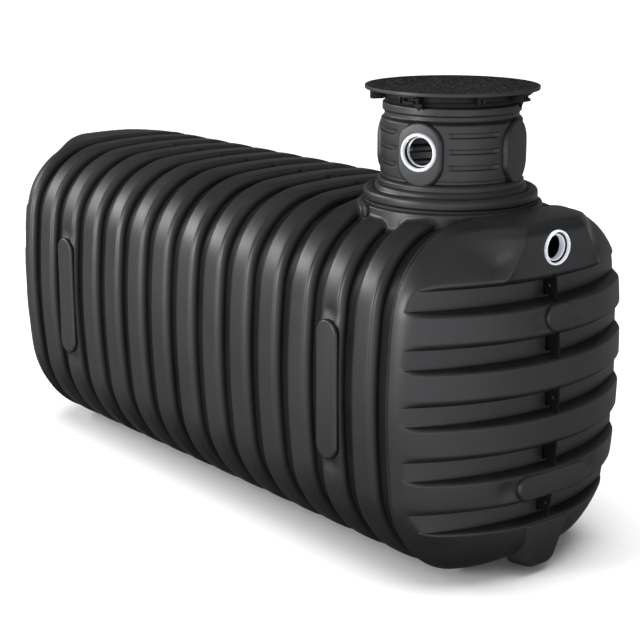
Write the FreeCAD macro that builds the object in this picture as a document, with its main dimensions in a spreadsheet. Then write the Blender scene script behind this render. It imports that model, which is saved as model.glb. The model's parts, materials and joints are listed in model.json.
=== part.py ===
# Underground storage tank: ribbed plastic barrel, two banded ends, a turret with a lid.
# Millimetres, +Z up, +X towards the end that carries the turret, origin on the floor under the middle.
import FreeCAD, Part
import math
import os

import Sketcher
from FreeCAD import Matrix, Placement, Rotation, Vector

UP = Vector(0, 0, 1)
ALONG = Vector(1, 0, 0)
ACROSS = Vector(0, 1, 0)

# Driving dimensions
SIZES = {
    # barrel section, on the crest of the ribs
    "tank_width": 1420,
    "tank_height": 1668,
    "widest_height": 873,
    "top_radius": 3400,
    "side_radius": 3500,
    "top_corner": 440,
    "bottom_corner": 510,
    "corner_split": 45,
    "wall": 12,
    # hairline between solids that share a node, and how many a ring has
    "slit": 0.3,
    "ring_segments": 12,
    "turret_segments": 8,
    # ribs
    "rib_count": 13,
    "rib_pitch": 229,
    "rib_depth": 40,
    "crown_width": 112,
    "groove_width": 76,
    "edge_round": 14,
    # flat pads on the sides of two ribs
    "side_pad_rib": 2,
    "side_pad_drop": 10,
    "side_pad_width": 143,
    "side_pad_length": 662,
    "side_pad_tip": 70,
    "side_pad_proud": 6,
    # thin webs across the grooves on the ridge
    "ridge_web": 8,
    "ridge_web_drop": 6,
    "ridge_eye": 14,
    # ends
    "end_drop": 3,
    "end_shoulder": 12,
    "end_length": 350,
    "plan_bulge": 1120,
    "side_bulge": 4000,
    "band_count": 5,
    "band_pitch": 253,
    "band_groove": 126,
    "band_drop": 236,
    "band_groove_depth": 68,
    "band_groove_reach": 660,
    "band_lip_fall": 18,
    "band_ramp_rise": 32,
    "pocket_width": 120,
    "pocket_depth": 45,
    "pocket_margin": 8,
    "end_web": 8,
    "end_web_eye": 18,
    # flat pads on the ends
    "pipe_pad_back": 49,
    "pipe_pad_drop": 13,
    "pipe_pad_top_width": 380,
    "pipe_pad_bottom_width": 640,
    "pipe_pad_round": 60,
    "pipe_pad_draft": 150,
    "pipe_pad_roof": 8,
    "round_pad_back": 3,
    "round_pad_drop": 432,
    "round_pad_radius": 72,
    "long_pad_back": 9,
    "long_pad_drop": 1192,
    "long_pad_length": 430,
    "long_pad_width": 124,
    "foot_overlap": 8,
    "foot_top_back": 41,
    "foot_bottom": 44,
    "foot_bottom_back": 103,
    "foot_top_width": 300,
    "foot_bottom_width": 130,
    "foot_round": 40,
    # where an end is parted: its rim from its face, and the face into panels
    "rim_depth": 96,
    "panel_half": 250,
    # pipe seals
    "seal_drop": 123,
    "seal_bore": 110,
    "seal_flange": 156,
    "seal_lip": 10,
    "seal_tail": 26,
    "seal_wall": 10,
    "seal_gap": 0.3,
    # neck of the barrel under the turret
    "turret_back": 720,
    "neck_radius": 425,
    "neck_wall": 28,
    "neck_drop": 1,
    "neck_height": 127,
    "gasket_height": 11,
    "gasket_radius": 400,
    "gasket_width": 22,
    # turret
    "flange_radius": 404,
    "flange_height": 53,
    "flange_rim": 20,
    "flange_round": 8,
    "trough_draft": 8,
    "trough_floor": 22,
    "flange_collar": 346,
    "collar_height": 74,
    "turret_radius": 325,
    "turret_wall": 13,
    "turret_foot": 338,
    "foot_height": 42,
    "turret_height": 402,
    "bead_pitch": 71,
    "bead_count": 3,
    "bead_first": 179,
    "bead_groove": 20,
    "bead_groove_depth": 6,
    "bead_round": 5,
    "neck_groove_radius": 309,
    "neck_groove_height": 17,
    "manway_radius": 296,
    "rim_radius": 319,
    "rim_height": 44,
    "turret_pad_angle": 20.5,
    "turret_pad_reach": 333,
    "turret_pad_width": 200,
    "turret_pad_top": 380,
    "turret_pad_bottom": 87,
    "turret_pad_arch": 60,
    "turret_pad_round": 80,
    "turret_seal_height": 247,
    "turret_seal_bore": 126,
    "turret_seal_flange": 174,
    # lid
    "frame_radius": 330,
    "frame_height": 36,
    "frame_step": 308,
    "frame_step_height": 20,
    "frame_bore": 282,
    "spigot_gap": 2,
    "spigot_length": 28,
    "lid_radius": 400,
    "lid_thickness": 15,
    "lid_round": 4,
    "bracket_gap": 1,
    "bracket_reach": 388,
    "bracket_width": 92,
    "bracket_height": 38,
    "lug_width": 34,
    "latch_width": 36,
    "latch_height": 32,
    "latch_thickness": 14,
}

doc = FreeCAD.newDocument("storage_tank")
sheet = doc.addObject("Spreadsheet::Sheet", "dims")
for row, (alias, size) in enumerate(SIZES.items(), start=1):
    sheet.set(f"A{row}", alias)
    sheet.set(f"B{row}", str(size))
    sheet.setAlias(f"B{row}", alias)
doc.recompute()
d = {alias: float(getattr(sheet, alias)) for alias in SIZES}
ribs = int(d["rib_count"])

# Places along the tank and up it, as formulas on the sheet
rib_end = "@rib_count * @rib_pitch / 2"
end_root = f"({rib_end} + @groove_width / 2)"
end_crown = f"({rib_end} + (@rib_pitch - @crown_width) / 2)"
dome_start = f"({end_crown} + @end_shoulder)"
dome_tip = f"({dome_start} + @end_length)"
turret_x = f"({dome_tip} - @turret_back)"
neck_top = "(@tank_height - @neck_drop)"
turret_base = f"({neck_top} + @gasket_height)"
pipe_pad_x = f"({dome_tip} - @pipe_pad_back)"
seal_height = "(@tank_height - @seal_drop)"


def cell(formula):
    # sizes are written as @alias
    return formula.replace("@", "dims.")


def measure(formula):
    return float(sheet.evalExpression(formula.replace("@", "")))


def new_body(label):
    body = doc.addObject("PartDesign::Body", label)
    body.Label = label
    return body


def sketch_on(body, name, role, lift=None):
    sketch = body.newObject("Sketcher::SketchObject", name)
    support = next(plane for plane in body.Origin.OriginFeatures if plane.Role == role)
    sketch.AttachmentSupport = (support, "")
    sketch.MapMode = "FlatFace"
    if lift:
        sketch.setExpression("AttachmentOffset.Base.z", cell(lift))
    return sketch


def bind(sketch, constraint, formula):
    index = sketch.addConstraint(constraint)
    sketch.setExpression(f"Constraints[{index}]", cell(formula))


def pin(sketch, geometry, point, across, up):
    # ties one point of a sketch to the sheet
    bind(sketch, Sketcher.Constraint("DistanceX", geometry, point, measure(across)), across)
    bind(sketch, Sketcher.Constraint("DistanceY", geometry, point, measure(up)), up)


def corner_arc(before, corner, after, radius):
    # the rounding of one corner: its start, its end, the arc and whether the outline turns left there
    back = (before - corner).normalize()
    ahead = (after - corner).normalize()
    half = back.getAngle(ahead) / 2
    start = corner + back * (radius / math.tan(half))
    end = corner + ahead * (radius / math.tan(half))
    centre = corner + (back + ahead).normalize() * (radius / math.sin(half))
    left = back.cross(ahead).z < 0
    first, last = (start, end) if left else (end, start)
    angles = [math.atan2(point.y - centre.y, point.x - centre.x) for point in (first, last)]
    return start, end, Part.ArcOfCircle(Part.Circle(centre, UP, radius), *angles), left


def flat_wire(x, corners):
    # a closed upright outline at one X; a corner is (Y, Z) or (Y, Z, rounding)
    points = [Vector(corner[0], corner[1], 0) for corner in corners]
    ends = list(points)
    starts = list(points)
    arcs = {}
    for i, corner in enumerate(corners):
        if len(corner) == 3:
            after = points[(i + 1) % len(points)]
            ends[i], starts[i], arcs[i], _ = corner_arc(points[i - 1], points[i], after, corner[2])
    edges = []
    for i in range(len(corners)):
        if i in arcs:
            edges.append(arcs[i].toShape())
        edges.append(Part.makeLine(starts[i], ends[(i + 1) % len(corners)]))
    wire = Part.Wire(edges)
    wire.Placement = Placement(Vector(x, 0, 0), Rotation(ACROSS, UP, ALONG, "ZXY"))
    return wire


def outline(sketch, corners):
    # a closed outline, anticlockwise; a corner is (across, up) or (across, up, rounding)
    points = [Vector(measure(corner[0]), measure(corner[1]), 0) for corner in corners]
    count = len(points)
    rounds = {}
    starts = list(points)
    ends = list(points)
    for i, corner in enumerate(corners):
        if len(corner) == 3:
            radius = measure(corner[2])
            rounds[i] = corner_arc(points[i - 1], points[i], points[(i + 1) % count], radius)
            ends[i], starts[i] = rounds[i][:2]
    lines = []
    for i in range(count):
        lines.append(sketch.addGeometry(Part.LineSegment(starts[i], ends[(i + 1) % count])))
    for i, corner in enumerate(corners):
        before, after = lines[i - 1], lines[i]
        if i in rounds:
            arc = sketch.addGeometry(rounds[i][2])
            mark = sketch.addGeometry(Part.Point(points[i]), True)
            near, far = (1, 2) if rounds[i][3] else (2, 1)
            sketch.addConstraint(Sketcher.Constraint("PointOnObject", mark, 1, before))
            sketch.addConstraint(Sketcher.Constraint("PointOnObject", mark, 1, after))
            sketch.addConstraint(Sketcher.Constraint("Tangent", before, 2, arc, near))
            sketch.addConstraint(Sketcher.Constraint("Tangent", after, 1, arc, far))
            bind(sketch, Sketcher.Constraint("Radius", arc, measure(corner[2])), corner[2])
            pin(sketch, mark, 1, corner[0], corner[1])
        else:
            sketch.addConstraint(Sketcher.Constraint("Coincident", before, 2, after, 1))
            pin(sketch, after, 1, corner[0], corner[1])


def circle(sketch, across, up, radius):
    centre = Vector(measure(across), measure(up), 0)
    ring = sketch.addGeometry(Part.Circle(centre, UP, measure(radius)))
    bind(sketch, Sketcher.Constraint("Radius", ring, measure(radius)), radius)
    pin(sketch, ring, 3, across, up)


def turned(label, corners):
    # a body of revolution about its own upright axis
    body = new_body(label)
    profile = sketch_on(body, label + "_profile", "XZ_Plane")
    outline(profile, corners)
    turn = body.newObject("PartDesign::Revolution", label + "_turn")
    turn.Profile = profile
    turn.ReferenceAxis = (profile, ["V_Axis"])
    turn.Angle = 360
    return body


def part_ring(body, count, reach):
    # hairline slits that part a ring into like segments, half a segment off the axes
    half_pitch = 180 / d[count]
    plan = sketch_on(body, body.Label + "_slit", "XY_Plane")
    plan.AttachmentOffset = Placement(Vector(), Rotation(UP, half_pitch))
    corners = [
        ("0", "-@slit / 2"),
        (reach, "-@slit / 2"),
        (reach, "@slit / 2"),
        ("0", "@slit / 2"),
    ]
    outline(plan, corners)
    slit = body.newObject("PartDesign::Pocket", body.Label + "_slit_cut")
    slit.Profile = plan
    slit.Type = "ThroughAll"
    slit.Midplane = True
    slits = body.newObject("PartDesign::PolarPattern", body.Label + "_slits")
    slits.Originals = [slit]
    slits.Axis = (plan, ["N_Axis"])
    slits.Angle = 360
    slits.setExpression("Occurrences", cell(f"@{count}"))
    body.Tip = slits


def on_turret(body, height="0"):
    body.setExpression("Placement.Base.x", cell(turret_x))
    body.setExpression("Placement.Base.z", cell(height))


# Barrel section: flat bottom, rounded corners, bowed sides and top, all tangent


def section_arcs(inset=0.0):
    # (centre, radius, start angle, end angle) anticlockwise from the middle of the top
    top = Vector(0, d["tank_height"] - d["top_radius"], 0)
    side = Vector(d["tank_width"] / 2 - d["side_radius"], d["widest_height"], 0)
    span = (top - side).Length
    to_side = d["side_radius"] - d["top_corner"]
    to_top = d["top_radius"] - d["top_corner"]
    along = (to_side**2 - to_top**2 + span**2) / (2 * span)
    off = math.sqrt(to_side**2 - along**2)
    axis = (top - side) / span
    upper = side + axis * along + Vector(-axis.y, axis.x, 0) * off
    reach = d["side_radius"] - d["bottom_corner"]
    lower_y = side.x + math.sqrt(reach**2 - (d["widest_height"] - d["bottom_corner"]) ** 2)
    lower = Vector(lower_y, d["bottom_corner"], 0)
    high = math.atan2(upper.y - top.y, upper.x - top.x)
    mid = math.atan2(upper.y - side.y, upper.x - side.x)
    low = math.atan2(lower.y - side.y, lower.x - side.x)
    right = [
        (lower, d["bottom_corner"] - inset, -math.pi / 2, low),
        (side, d["side_radius"] - inset, low, mid),
        (upper, d["top_corner"] - inset, mid, high),
        (top, d["top_radius"] - inset, high, math.pi / 2),
    ]
    left = []
    for centre, radius, start, end in reversed(right):
        left.append((Vector(-centre.x, centre.y, 0), radius, math.pi - end, math.pi - start))
    return left, right


def section_wire(x, inset=0.0):
    left, right = section_arcs(inset)
    floor = left[-1][0].y - left[-1][1]
    half_flat = right[0][0].x
    edges = []
    for centre, radius, start, end in left:
        edges.append(Part.makeCircle(radius, centre, UP, math.degrees(start), math.degrees(end)))
    edges.append(Part.makeLine(Vector(-half_flat, floor, 0), Vector(half_flat, floor, 0)))
    for centre, radius, start, end in right:
        edges.append(Part.makeCircle(radius, centre, UP, math.degrees(start), math.degrees(end)))
    wire = Part.Wire(edges)
    # sketch axes (across, up) become Y and Z
    wire.Placement = Placement(Vector(x, 0, 0), Rotation(ACROSS, UP, ALONG, "ZXY"))
    return wire


# Barrel wall: one corrugated panel for each stretch of the section


def rib_profile(sketch, crest):
    # the first rib of the row, its crest at a height over the sketch's own axis
    place = "-(@rib_count - 1) / 2 * @rib_pitch"
    floor = f"{crest} - @rib_depth"
    half = "@rib_pitch / 2"
    root = "(@rib_pitch - @groove_width) / 2"
    crown = "@crown_width / 2"
    outside = "@edge_round"
    inside = "@edge_round / 2"
    corners = [
        (f"{place} - {half}", f"{floor} - @wall"),
        (f"{place} - {root} + @wall / 2", f"{floor} - @wall", inside),
        (f"{place} - {crown} + @wall / 2", f"{crest} - @wall", inside),
        (f"{place} + {crown} - @wall / 2", f"{crest} - @wall", inside),
        (f"{place} + {root} - @wall / 2", f"{floor} - @wall", inside),
        (f"{place} + {half}", f"{floor} - @wall"),
        (f"{place} + {half}", floor),
        (f"{place} + {root}", floor, outside),
        (f"{place} + {crown}", crest, outside),
        (f"{place} - {crown}", crest, outside),
        (f"{place} - {root}", floor, outside),
        (f"{place} - {half}", floor),
    ]
    outline(sketch, corners)


def shoulder_profile(sketch, crest, side):
    # half a groove, a flank and the shoulder that meets an end
    floor = f"{crest} - @rib_depth"
    high = f"{crest} - @end_drop"
    outside = "@edge_round"
    inside = "@edge_round / 2"
    corners = [
        (rib_end, f"{floor} - @wall"),
        (f"{end_root} + @wall / 2", f"{floor} - @wall", inside),
        (f"{end_crown} + @wall / 2", f"{high} - @wall", inside),
        (dome_start, f"{high} - @wall"),
        (dome_start, high),
        (end_crown, high, outside),
        (end_root, floor, outside),
        (rib_end, floor),
    ]
    outline(sketch, [(f"{side} * ({corner[0]})", *corner[1:]) for corner in corners])


def carry(body, sketch, name, turn):
    # takes a profile round a corner of the section, or straight across the flat bottom
    if turn:
        solid = body.newObject("PartDesign::Revolution", name)
        solid.Profile = sketch
        solid.ReferenceAxis = (sketch, ["H_Axis"])
        solid.Angle = turn
    else:
        solid = body.newObject("PartDesign::Pad", name)
        solid.Profile = sketch
        solid.setExpression("Length", cell(flat_width))
    solid.Midplane = True
    return solid


def wall_panel(label, crest, centre, start, end):
    # the panel's middle looks up in its own frame
    body = new_body(label)
    turn = math.degrees(end - start)
    rib = sketch_on(body, label + "_rib", "XZ_Plane")
    rib_profile(rib, crest)
    first = carry(body, rib, label + "_first_rib", turn)
    row = body.newObject("PartDesign::LinearPattern", label + "_ribs")
    row.Originals = [first]
    row.Direction = (rib, ["H_Axis"])
    row.setExpression("Length", cell("(@rib_count - 1) * @rib_pitch"))
    row.setExpression("Occurrences", cell("@rib_count"))
    body.Tip = row
    for name, side in (("front", "1"), ("rear", "-1")):
        shoulder = sketch_on(body, f"{label}_{name}", "XZ_Plane")
        shoulder_profile(shoulder, crest, side)
        carry(body, shoulder, f"{label}_{name}_shoulder", turn)
    lean = math.degrees((start + end) / 2) - 90
    body.Placement = Placement(Vector(0, centre.x, centre.y), Rotation(ALONG, lean))
    return body


flat_width = (
    "2 * (@tank_width / 2 - @side_radius"
    " + sqrt((@side_radius - @bottom_corner)^2 - (@widest_height - @bottom_corner)^2))"
)
neck_bore = doc.addObject("Part::Cylinder", "neck_bore")
neck_bore.setExpression("Radius", cell("@neck_radius"))
neck_bore.setExpression("Height", cell("@tank_height"))
neck_bore.setExpression("Placement.Base.x", cell(turret_x))
neck_bore.setExpression("Placement.Base.z", cell("@widest_height"))


def corner_panels(side, name, crest, arc):
    # a corner of the section in two panels, parted where it leans by half a right angle
    centre, _, start, end = arc
    split = math.radians(d["corner_split"])
    if name == "bottom":
        split = -split
    if side == "left":
        split = math.pi - split
    spans = [(start, split), (split, end)]
    if side == "left":
        spans.reverse()
    labels = [f"{side}_{name}_corner_{level}" for level in ("low", "high")]
    return [wall_panel(label, crest, centre, *span) for label, span in zip(labels, spans)]


def barrel():
    # left and right as seen from the front end
    left, right = section_arcs()
    panels = [wall_panel("barrel_floor", "0", Vector(), -math.pi / 2, -math.pi / 2)]
    for side, (bottom, flank, top, _) in (("left", left[::-1]), ("right", right)):
        panels += corner_panels(side, "bottom", "@bottom_corner", bottom)
        panels.append(wall_panel(f"{side}_side", "@side_radius", flank[0], flank[2], flank[3]))
        panels += corner_panels(side, "top", "@top_corner", top)
    crown = right[-1]
    panels.append(wall_panel("barrel_roof", "@top_radius", crown[0], crown[2], math.pi - crown[2]))
    return {panel.Label: panel for panel in panels}


walls = barrel()
for label in ("barrel_roof", "left_top_corner_high", "right_top_corner_high"):
    blank = walls[label]
    blank.Label = label + "_blank"
    walls[label] = doc.addObject("Part::Cut", label + "_cut")
    walls[label].Label = label
    walls[label].Base = blank
    walls[label].Tool = neck_bore
doc.recompute()

# Ends: a pillow that bulges more in plan than in side view, with grooves between its bands

mid_height = d["tank_height"] / 2
dome_x = measure(dome_start)
DOME_STEPS = (0.0, 0.2, 0.4, 0.57, 0.71, 0.82, 0.9, 0.95, 0.98, 0.995)


def bulge(half, radius, rise, reach):
    # half size of a dome at a share of its rise: a corner arc, then a flat arc, tangent to each other
    centre = rise - radius
    corner = (radius**2 - centre**2 - half**2) / (2 * (radius - half))
    join = corner * -centre / (radius - corner) if radius != corner else 0
    if reach <= abs(join):
        return half - corner + math.sqrt(corner**2 - reach**2)
    return math.sqrt(radius**2 - (reach - centre) ** 2)


def dome_reach(half, radius, offset):
    # how far a dome stands out at a distance from its middle
    low, high = 0.0, d["end_length"]
    for _ in range(60):
        mid = (low + high) / 2
        if bulge(half, radius, d["end_length"], mid) > offset:
            low = mid
        else:
            high = mid
    return low


def dome(inset):
    half_width = d["tank_width"] / 2
    rise = d["end_length"]
    wires = []
    for step in DOME_STEPS:
        reach = rise * step
        across = bulge(half_width, d["plan_bulge"], rise, reach) / half_width
        up = bulge(mid_height, d["side_bulge"], rise, reach) / mid_height
        scale = Matrix()
        scale.A22 = across
        scale.A33 = up
        scale.A34 = mid_height * (1 - up)
        share = (rise - inset) / rise
        wire = section_wire(0, inset + d["end_drop"]).transformGeometry(scale)
        wire.translate(Vector(dome_x + reach * share, 0, 0))
        wires.append(wire)
    return Part.makeLoft(wires, True, False)


def upright_prism(wire, length):
    return Part.Face(wire).extrude(ALONG * length)


def groove_tops():
    highest = d["tank_height"] - d["band_drop"]
    return [highest - i * d["band_pitch"] for i in range(int(d["band_count"]))]


def crest_x(height):
    return dome_x + dome_reach(mid_height, d["side_bulge"], abs(height - mid_height))


def groove_floor():
    # radius of the flat arc that a groove's floor follows in plan
    tip = dome_reach(d["tank_width"] / 2, d["plan_bulge"], d["band_groove_reach"])
    sag = d["end_length"] - d["band_groove_depth"] - tip
    return (d["band_groove_reach"] ** 2 + sag**2) / (2 * sag)


def band_groove(top, grow):
    # steep lip above, upright floor, ramp below; turned about an upright axis
    bottom = top - d["band_groove"]
    depth = d["band_groove_depth"]
    radius = groove_floor()
    axis = crest_x((top + bottom) / 2) - depth - radius
    beyond = 2 * depth
    share = beyond / depth
    inner = radius - grow
    points = [
        Vector(inner, 0, bottom + d["band_ramp_rise"] - grow),
        Vector(radius + beyond, 0, bottom + d["band_ramp_rise"] * (1 - share) - grow),
        Vector(radius + beyond, 0, top - d["band_lip_fall"] * (1 - share) + grow),
        Vector(inner, 0, top - d["band_lip_fall"] + grow),
    ]
    face = Part.Face(Part.makePolygon(points + points[:1]))
    sweep = 2 * math.degrees(math.asin(min(1.0, d["tank_width"] / 2 / radius)))
    tool = face.revolve(Vector(), UP, sweep)
    tool.rotate(Vector(), UP, -sweep / 2)
    tool.translate(Vector(axis, 0, 0))
    return tool


def web_pocket(top, grow):
    # the deeper pocket in the middle of a groove
    bottom = top - d["band_groove"] + d["band_ramp_rise"] + d["pocket_margin"] - grow
    ceiling = top - d["band_lip_fall"] - d["pocket_margin"] + grow
    back = crest_x(top - d["band_groove"] / 2) - d["band_groove_depth"] - d["pocket_depth"] - grow
    width = d["pocket_width"] + 2 * grow
    size = (d["band_groove_depth"] + d["pocket_depth"], width, ceiling - bottom)
    return Part.makeBox(*size, Vector(back, -width / 2, bottom))


def pipe_pad(inset):
    # a flat face with sloping sides, from inside the dome
    wires = []
    for x, grow, roof in (
        (dome_x, d["pipe_pad_draft"], d["pipe_pad_roof"]),
        (measure(pipe_pad_x) - inset, 0.0, 0.0),
    ):
        top = d["tank_height"] - d["pipe_pad_drop"] + roof - inset
        bottom = groove_tops()[0] + inset
        wide = d["pipe_pad_bottom_width"] / 2 + grow - inset
        narrow = d["pipe_pad_top_width"] / 2 + grow - inset
        round_off = d["pipe_pad_round"]
        corners = [(-wide, bottom), (wide, bottom), (narrow, top, round_off), (-narrow, top, round_off)]
        wires.append(flat_wire(x, corners))
    return Part.makeLoft(wires, True, True)


def end_pads():
    tip = measure(dome_tip)
    round_height = d["tank_height"] - d["round_pad_drop"]
    round_pad = Part.makeCylinder(
        d["round_pad_radius"],
        tip - d["round_pad_back"] - dome_x,
        Vector(dome_x, 0, round_height),
        ALONG,
    )
    radius = d["long_pad_width"] / 2
    straight = d["long_pad_length"] / 2 - radius
    length = tip - d["long_pad_back"] - dome_x
    long_height = d["tank_height"] - d["long_pad_drop"]
    corner = Vector(dome_x, -straight, long_height - radius)
    long_pad = Part.makeBox(length, 2 * straight, 2 * radius, corner)
    for side in (-straight, straight):
        middle = Vector(dome_x, side, long_height)
        long_pad = long_pad.fuse(Part.makeCylinder(radius, length, middle, ALONG))
    wide = d["foot_top_width"] / 2
    narrow = d["foot_bottom_width"] / 2
    low = d["foot_bottom"]
    high = groove_tops()[-1] - d["band_groove"] + d["foot_overlap"]
    corners = [
        (-narrow, low, d["foot_round"]),
        (narrow, low, d["foot_round"]),
        (wide, high),
        (-wide, high),
    ]
    foot = upright_prism(flat_wire(dome_x, corners), d["end_length"])
    slope = [
        Vector(dome_x, 0, low),
        Vector(tip - d["foot_bottom_back"], 0, low),
        Vector(tip - d["foot_top_back"], 0, high),
        Vector(dome_x, 0, high),
    ]
    side_view = Part.Face(Part.makePolygon(slope + slope[:1])).extrude(ACROSS * d["foot_top_width"])
    side_view.translate(ACROSS * (-d["foot_top_width"] / 2))
    return [round_pad, long_pad, foot.common(side_view)]


def end_skin(inset):
    # outside of the end, or its hollow when it is inset by the wall
    skin = dome(inset).fuse(pipe_pad(inset))
    for top in groove_tops():
        skin = skin.cut([band_groove(top, inset), web_pocket(top, inset)])
    if not inset:
        skin = skin.fuse(end_pads())
    return skin


outside = end_skin(0)
hollow = end_skin(d["wall"])
seal_hole = Part.makeCylinder(
    d["seal_bore"] / 2 + d["seal_wall"], d["end_length"], Vector(dome_x, 0, measure(seal_height)), ALONG
)


def end_slits():
    # hairlines that part the rim of an end from its face, and both into panels
    thin = d["slit"]
    middle = thin / 2
    width = d["tank_width"]
    height = d["tank_height"]
    rim = dome_x + d["rim_depth"]
    slits = [Part.makeBox(thin, width, height, Vector(rim - middle, -width / 2, 0))]
    face = Vector(rim, -width / 2, 0)
    for side in (-d["panel_half"], d["panel_half"]):
        slits.append(Part.makeBox(d["end_length"], thin, height, Vector(rim, side - middle, 0)))
    for top in groove_tops()[::2]:
        low = top - d["band_groove"] / 2 - middle
        slits.append(Part.makeBox(d["end_length"], width, thin, face + UP * low))
    split = math.radians(d["corner_split"])
    _, arcs = section_arcs()
    joins = [(arc[0], arc[1], arc[2]) for arc in arcs]
    joins += [(arcs[0][0], arcs[0][1], -split), (arcs[2][0], arcs[2][1], split)]
    deep = 2 * d["rim_depth"]
    for centre, radius, angle in joins:
        plate = Part.makeBox(d["rim_depth"], thin, deep)
        plate.translate(Vector(dome_x, -middle, radius + d["wall"] - deep))
        plate.rotate(Vector(), ALONG, math.degrees(angle) - 90)
        plate.translate(Vector(0, centre.x, centre.y))
        slits += [plate, plate.mirror(Vector(), ACROSS)]
    return slits


end_shell = outside.cut([hollow, seal_hole]).cut(end_slits())


def end_webs():
    webs = []
    for number, top in enumerate(groove_tops()):
        bottom = top - d["band_groove"]
        outer = [Vector(crest_x(height), 0, height) for height in (bottom, top)]
        inner = [Vector(dome_x, 0, height) for height in (top, bottom)]
        plate = Part.Face(Part.makePolygon(outer + inner + outer[:1])).extrude(ACROSS * d["end_web"])
        plate.translate(ACROSS * (-d["end_web"] / 2))
        plate = plate.cut([outside, hollow])
        if number % 2 == 0:
            eye = Vector(crest_x(top) - d["band_groove_depth"] / 2, -d["end_web"], (top + bottom) / 2)
            plate = plate.cut(Part.makeCylinder(d["end_web_eye"] / 2, 2 * d["end_web"], eye, ACROSS))
        webs.append(max(plate.Solids, key=lambda solid: solid.Volume))
    return Part.makeCompound(webs)


def feature(label, shape):
    piece = doc.addObject("Part::Feature", label)
    piece.Label = label
    piece.Shape = shape
    return piece


front_end = feature("front_end", end_shell.cut(neck_bore.Shape))
rear_end = feature("rear_end", end_shell)
rear_end.Placement = Placement(Vector(), Rotation(UP, 180))
web_shape = end_webs()
feature("front_end_webs", web_shape)
feature("rear_end_webs", web_shape).Placement = Placement(Vector(), Rotation(UP, 180))

# Small pieces on the barrel's wall


def ridge_webs():
    # one thin web in each open groove of the ridge, every other one with an eye
    webs = []
    top = d["tank_height"] - d["ridge_web_drop"]
    floor = d["tank_height"] - d["rib_depth"] - d["wall"] / 2
    last = measure(turret_x) - d["neck_radius"] - d["rib_pitch"] / 2
    for groove in range(1, ribs):
        x = measure(rib_end) - groove * d["rib_pitch"]
        if x > last:
            continue
        length = d["rib_pitch"] - d["crown_width"]
        corner = Vector(x - length / 2, -d["ridge_web"] / 2, floor)
        web = Part.makeBox(length, d["ridge_web"], top - floor, corner)
        web = max(web.cut(walls["barrel_roof"].Shape).Solids, key=lambda solid: solid.BoundBox.ZMax)
        if groove % 2 == 0:
            eye = Vector(x, -d["ridge_web"], top - d["ridge_eye"])
            web = web.cut(Part.makeCylinder(d["ridge_eye"] / 2, 2 * d["ridge_web"], eye, ACROSS))
        webs.append(web)
    return Part.makeCompound(webs)


def side_pads():
    # flat upright pads over the crest of two ribs, pointed at both ends
    half = d["side_pad_width"] / 2
    tall = d["side_pad_length"] / 2
    middle = d["widest_height"] - d["side_pad_drop"]
    deep = d["tank_width"] / 2 - d["rib_depth"]
    plan = [
        Vector(-half, deep, middle - tall + d["side_pad_tip"]),
        Vector(0, deep, middle - tall),
        Vector(half, deep, middle - tall + d["side_pad_tip"]),
        Vector(half, deep, middle + tall - d["side_pad_tip"]),
        Vector(0, deep, middle + tall),
        Vector(-half, deep, middle + tall - d["side_pad_tip"]),
    ]
    block = Part.Face(Part.makePolygon(plan + plan[:1]))
    block = block.extrude(ACROSS * (d["rib_depth"] + d["side_pad_proud"]))
    block.translate(ALONG * (((d["rib_count"] + 1) / 2 - d["side_pad_rib"]) * d["rib_pitch"]))
    block = block.cut(walls["right_side"].Shape)
    front = max(block.Solids, key=lambda solid: solid.BoundBox.YMax)
    pads = [front, front.mirror(Vector(), ALONG)]
    return Part.makeCompound(pads + [pad.mirror(Vector(), ACROSS) for pad in pads])


feature("ridge_webs", ridge_webs())
feature("side_pads", side_pads())

# Neck of the barrel and the gasket on it
neck_inner = "@neck_radius - @neck_wall"
neck = turned(
    "manway_neck",
    [
        (neck_inner, "-@neck_height"),
        ("@neck_radius", "-@neck_height"),
        ("@neck_radius", "0", "@neck_wall / 4"),
        (neck_inner, "0"),
    ],
)
on_turret(neck, neck_top)
gasket = turned(
    "neck_gasket",
    [
        ("@gasket_radius - @gasket_width", "0"),
        ("@gasket_radius", "0"),
        ("@gasket_radius", "@gasket_height"),
        ("@gasket_radius - @gasket_width", "@gasket_height"),
    ],
)
part_ring(gasket, "ring_segments", "@gasket_radius * 2")
on_turret(gasket, neck_top)

# Turret: flange with a rolled rim, beaded shell with four flat pads, rim
flange = turned(
    "turret_flange",
    [
        ("@manway_radius", "0"),
        ("@flange_radius", "0", "@flange_round"),
        ("@flange_radius", "@flange_height", "@flange_round"),
        ("@flange_radius - @flange_rim", "@flange_height", "@flange_round"),
        ("@flange_radius - @flange_rim - @trough_draft", "@trough_floor"),
        ("@flange_collar", "@trough_floor"),
        ("@flange_collar", "@collar_height", "@flange_rim / 4"),
        ("@manway_radius", "@collar_height"),
    ],
)
on_turret(flange, turret_base)


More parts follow.
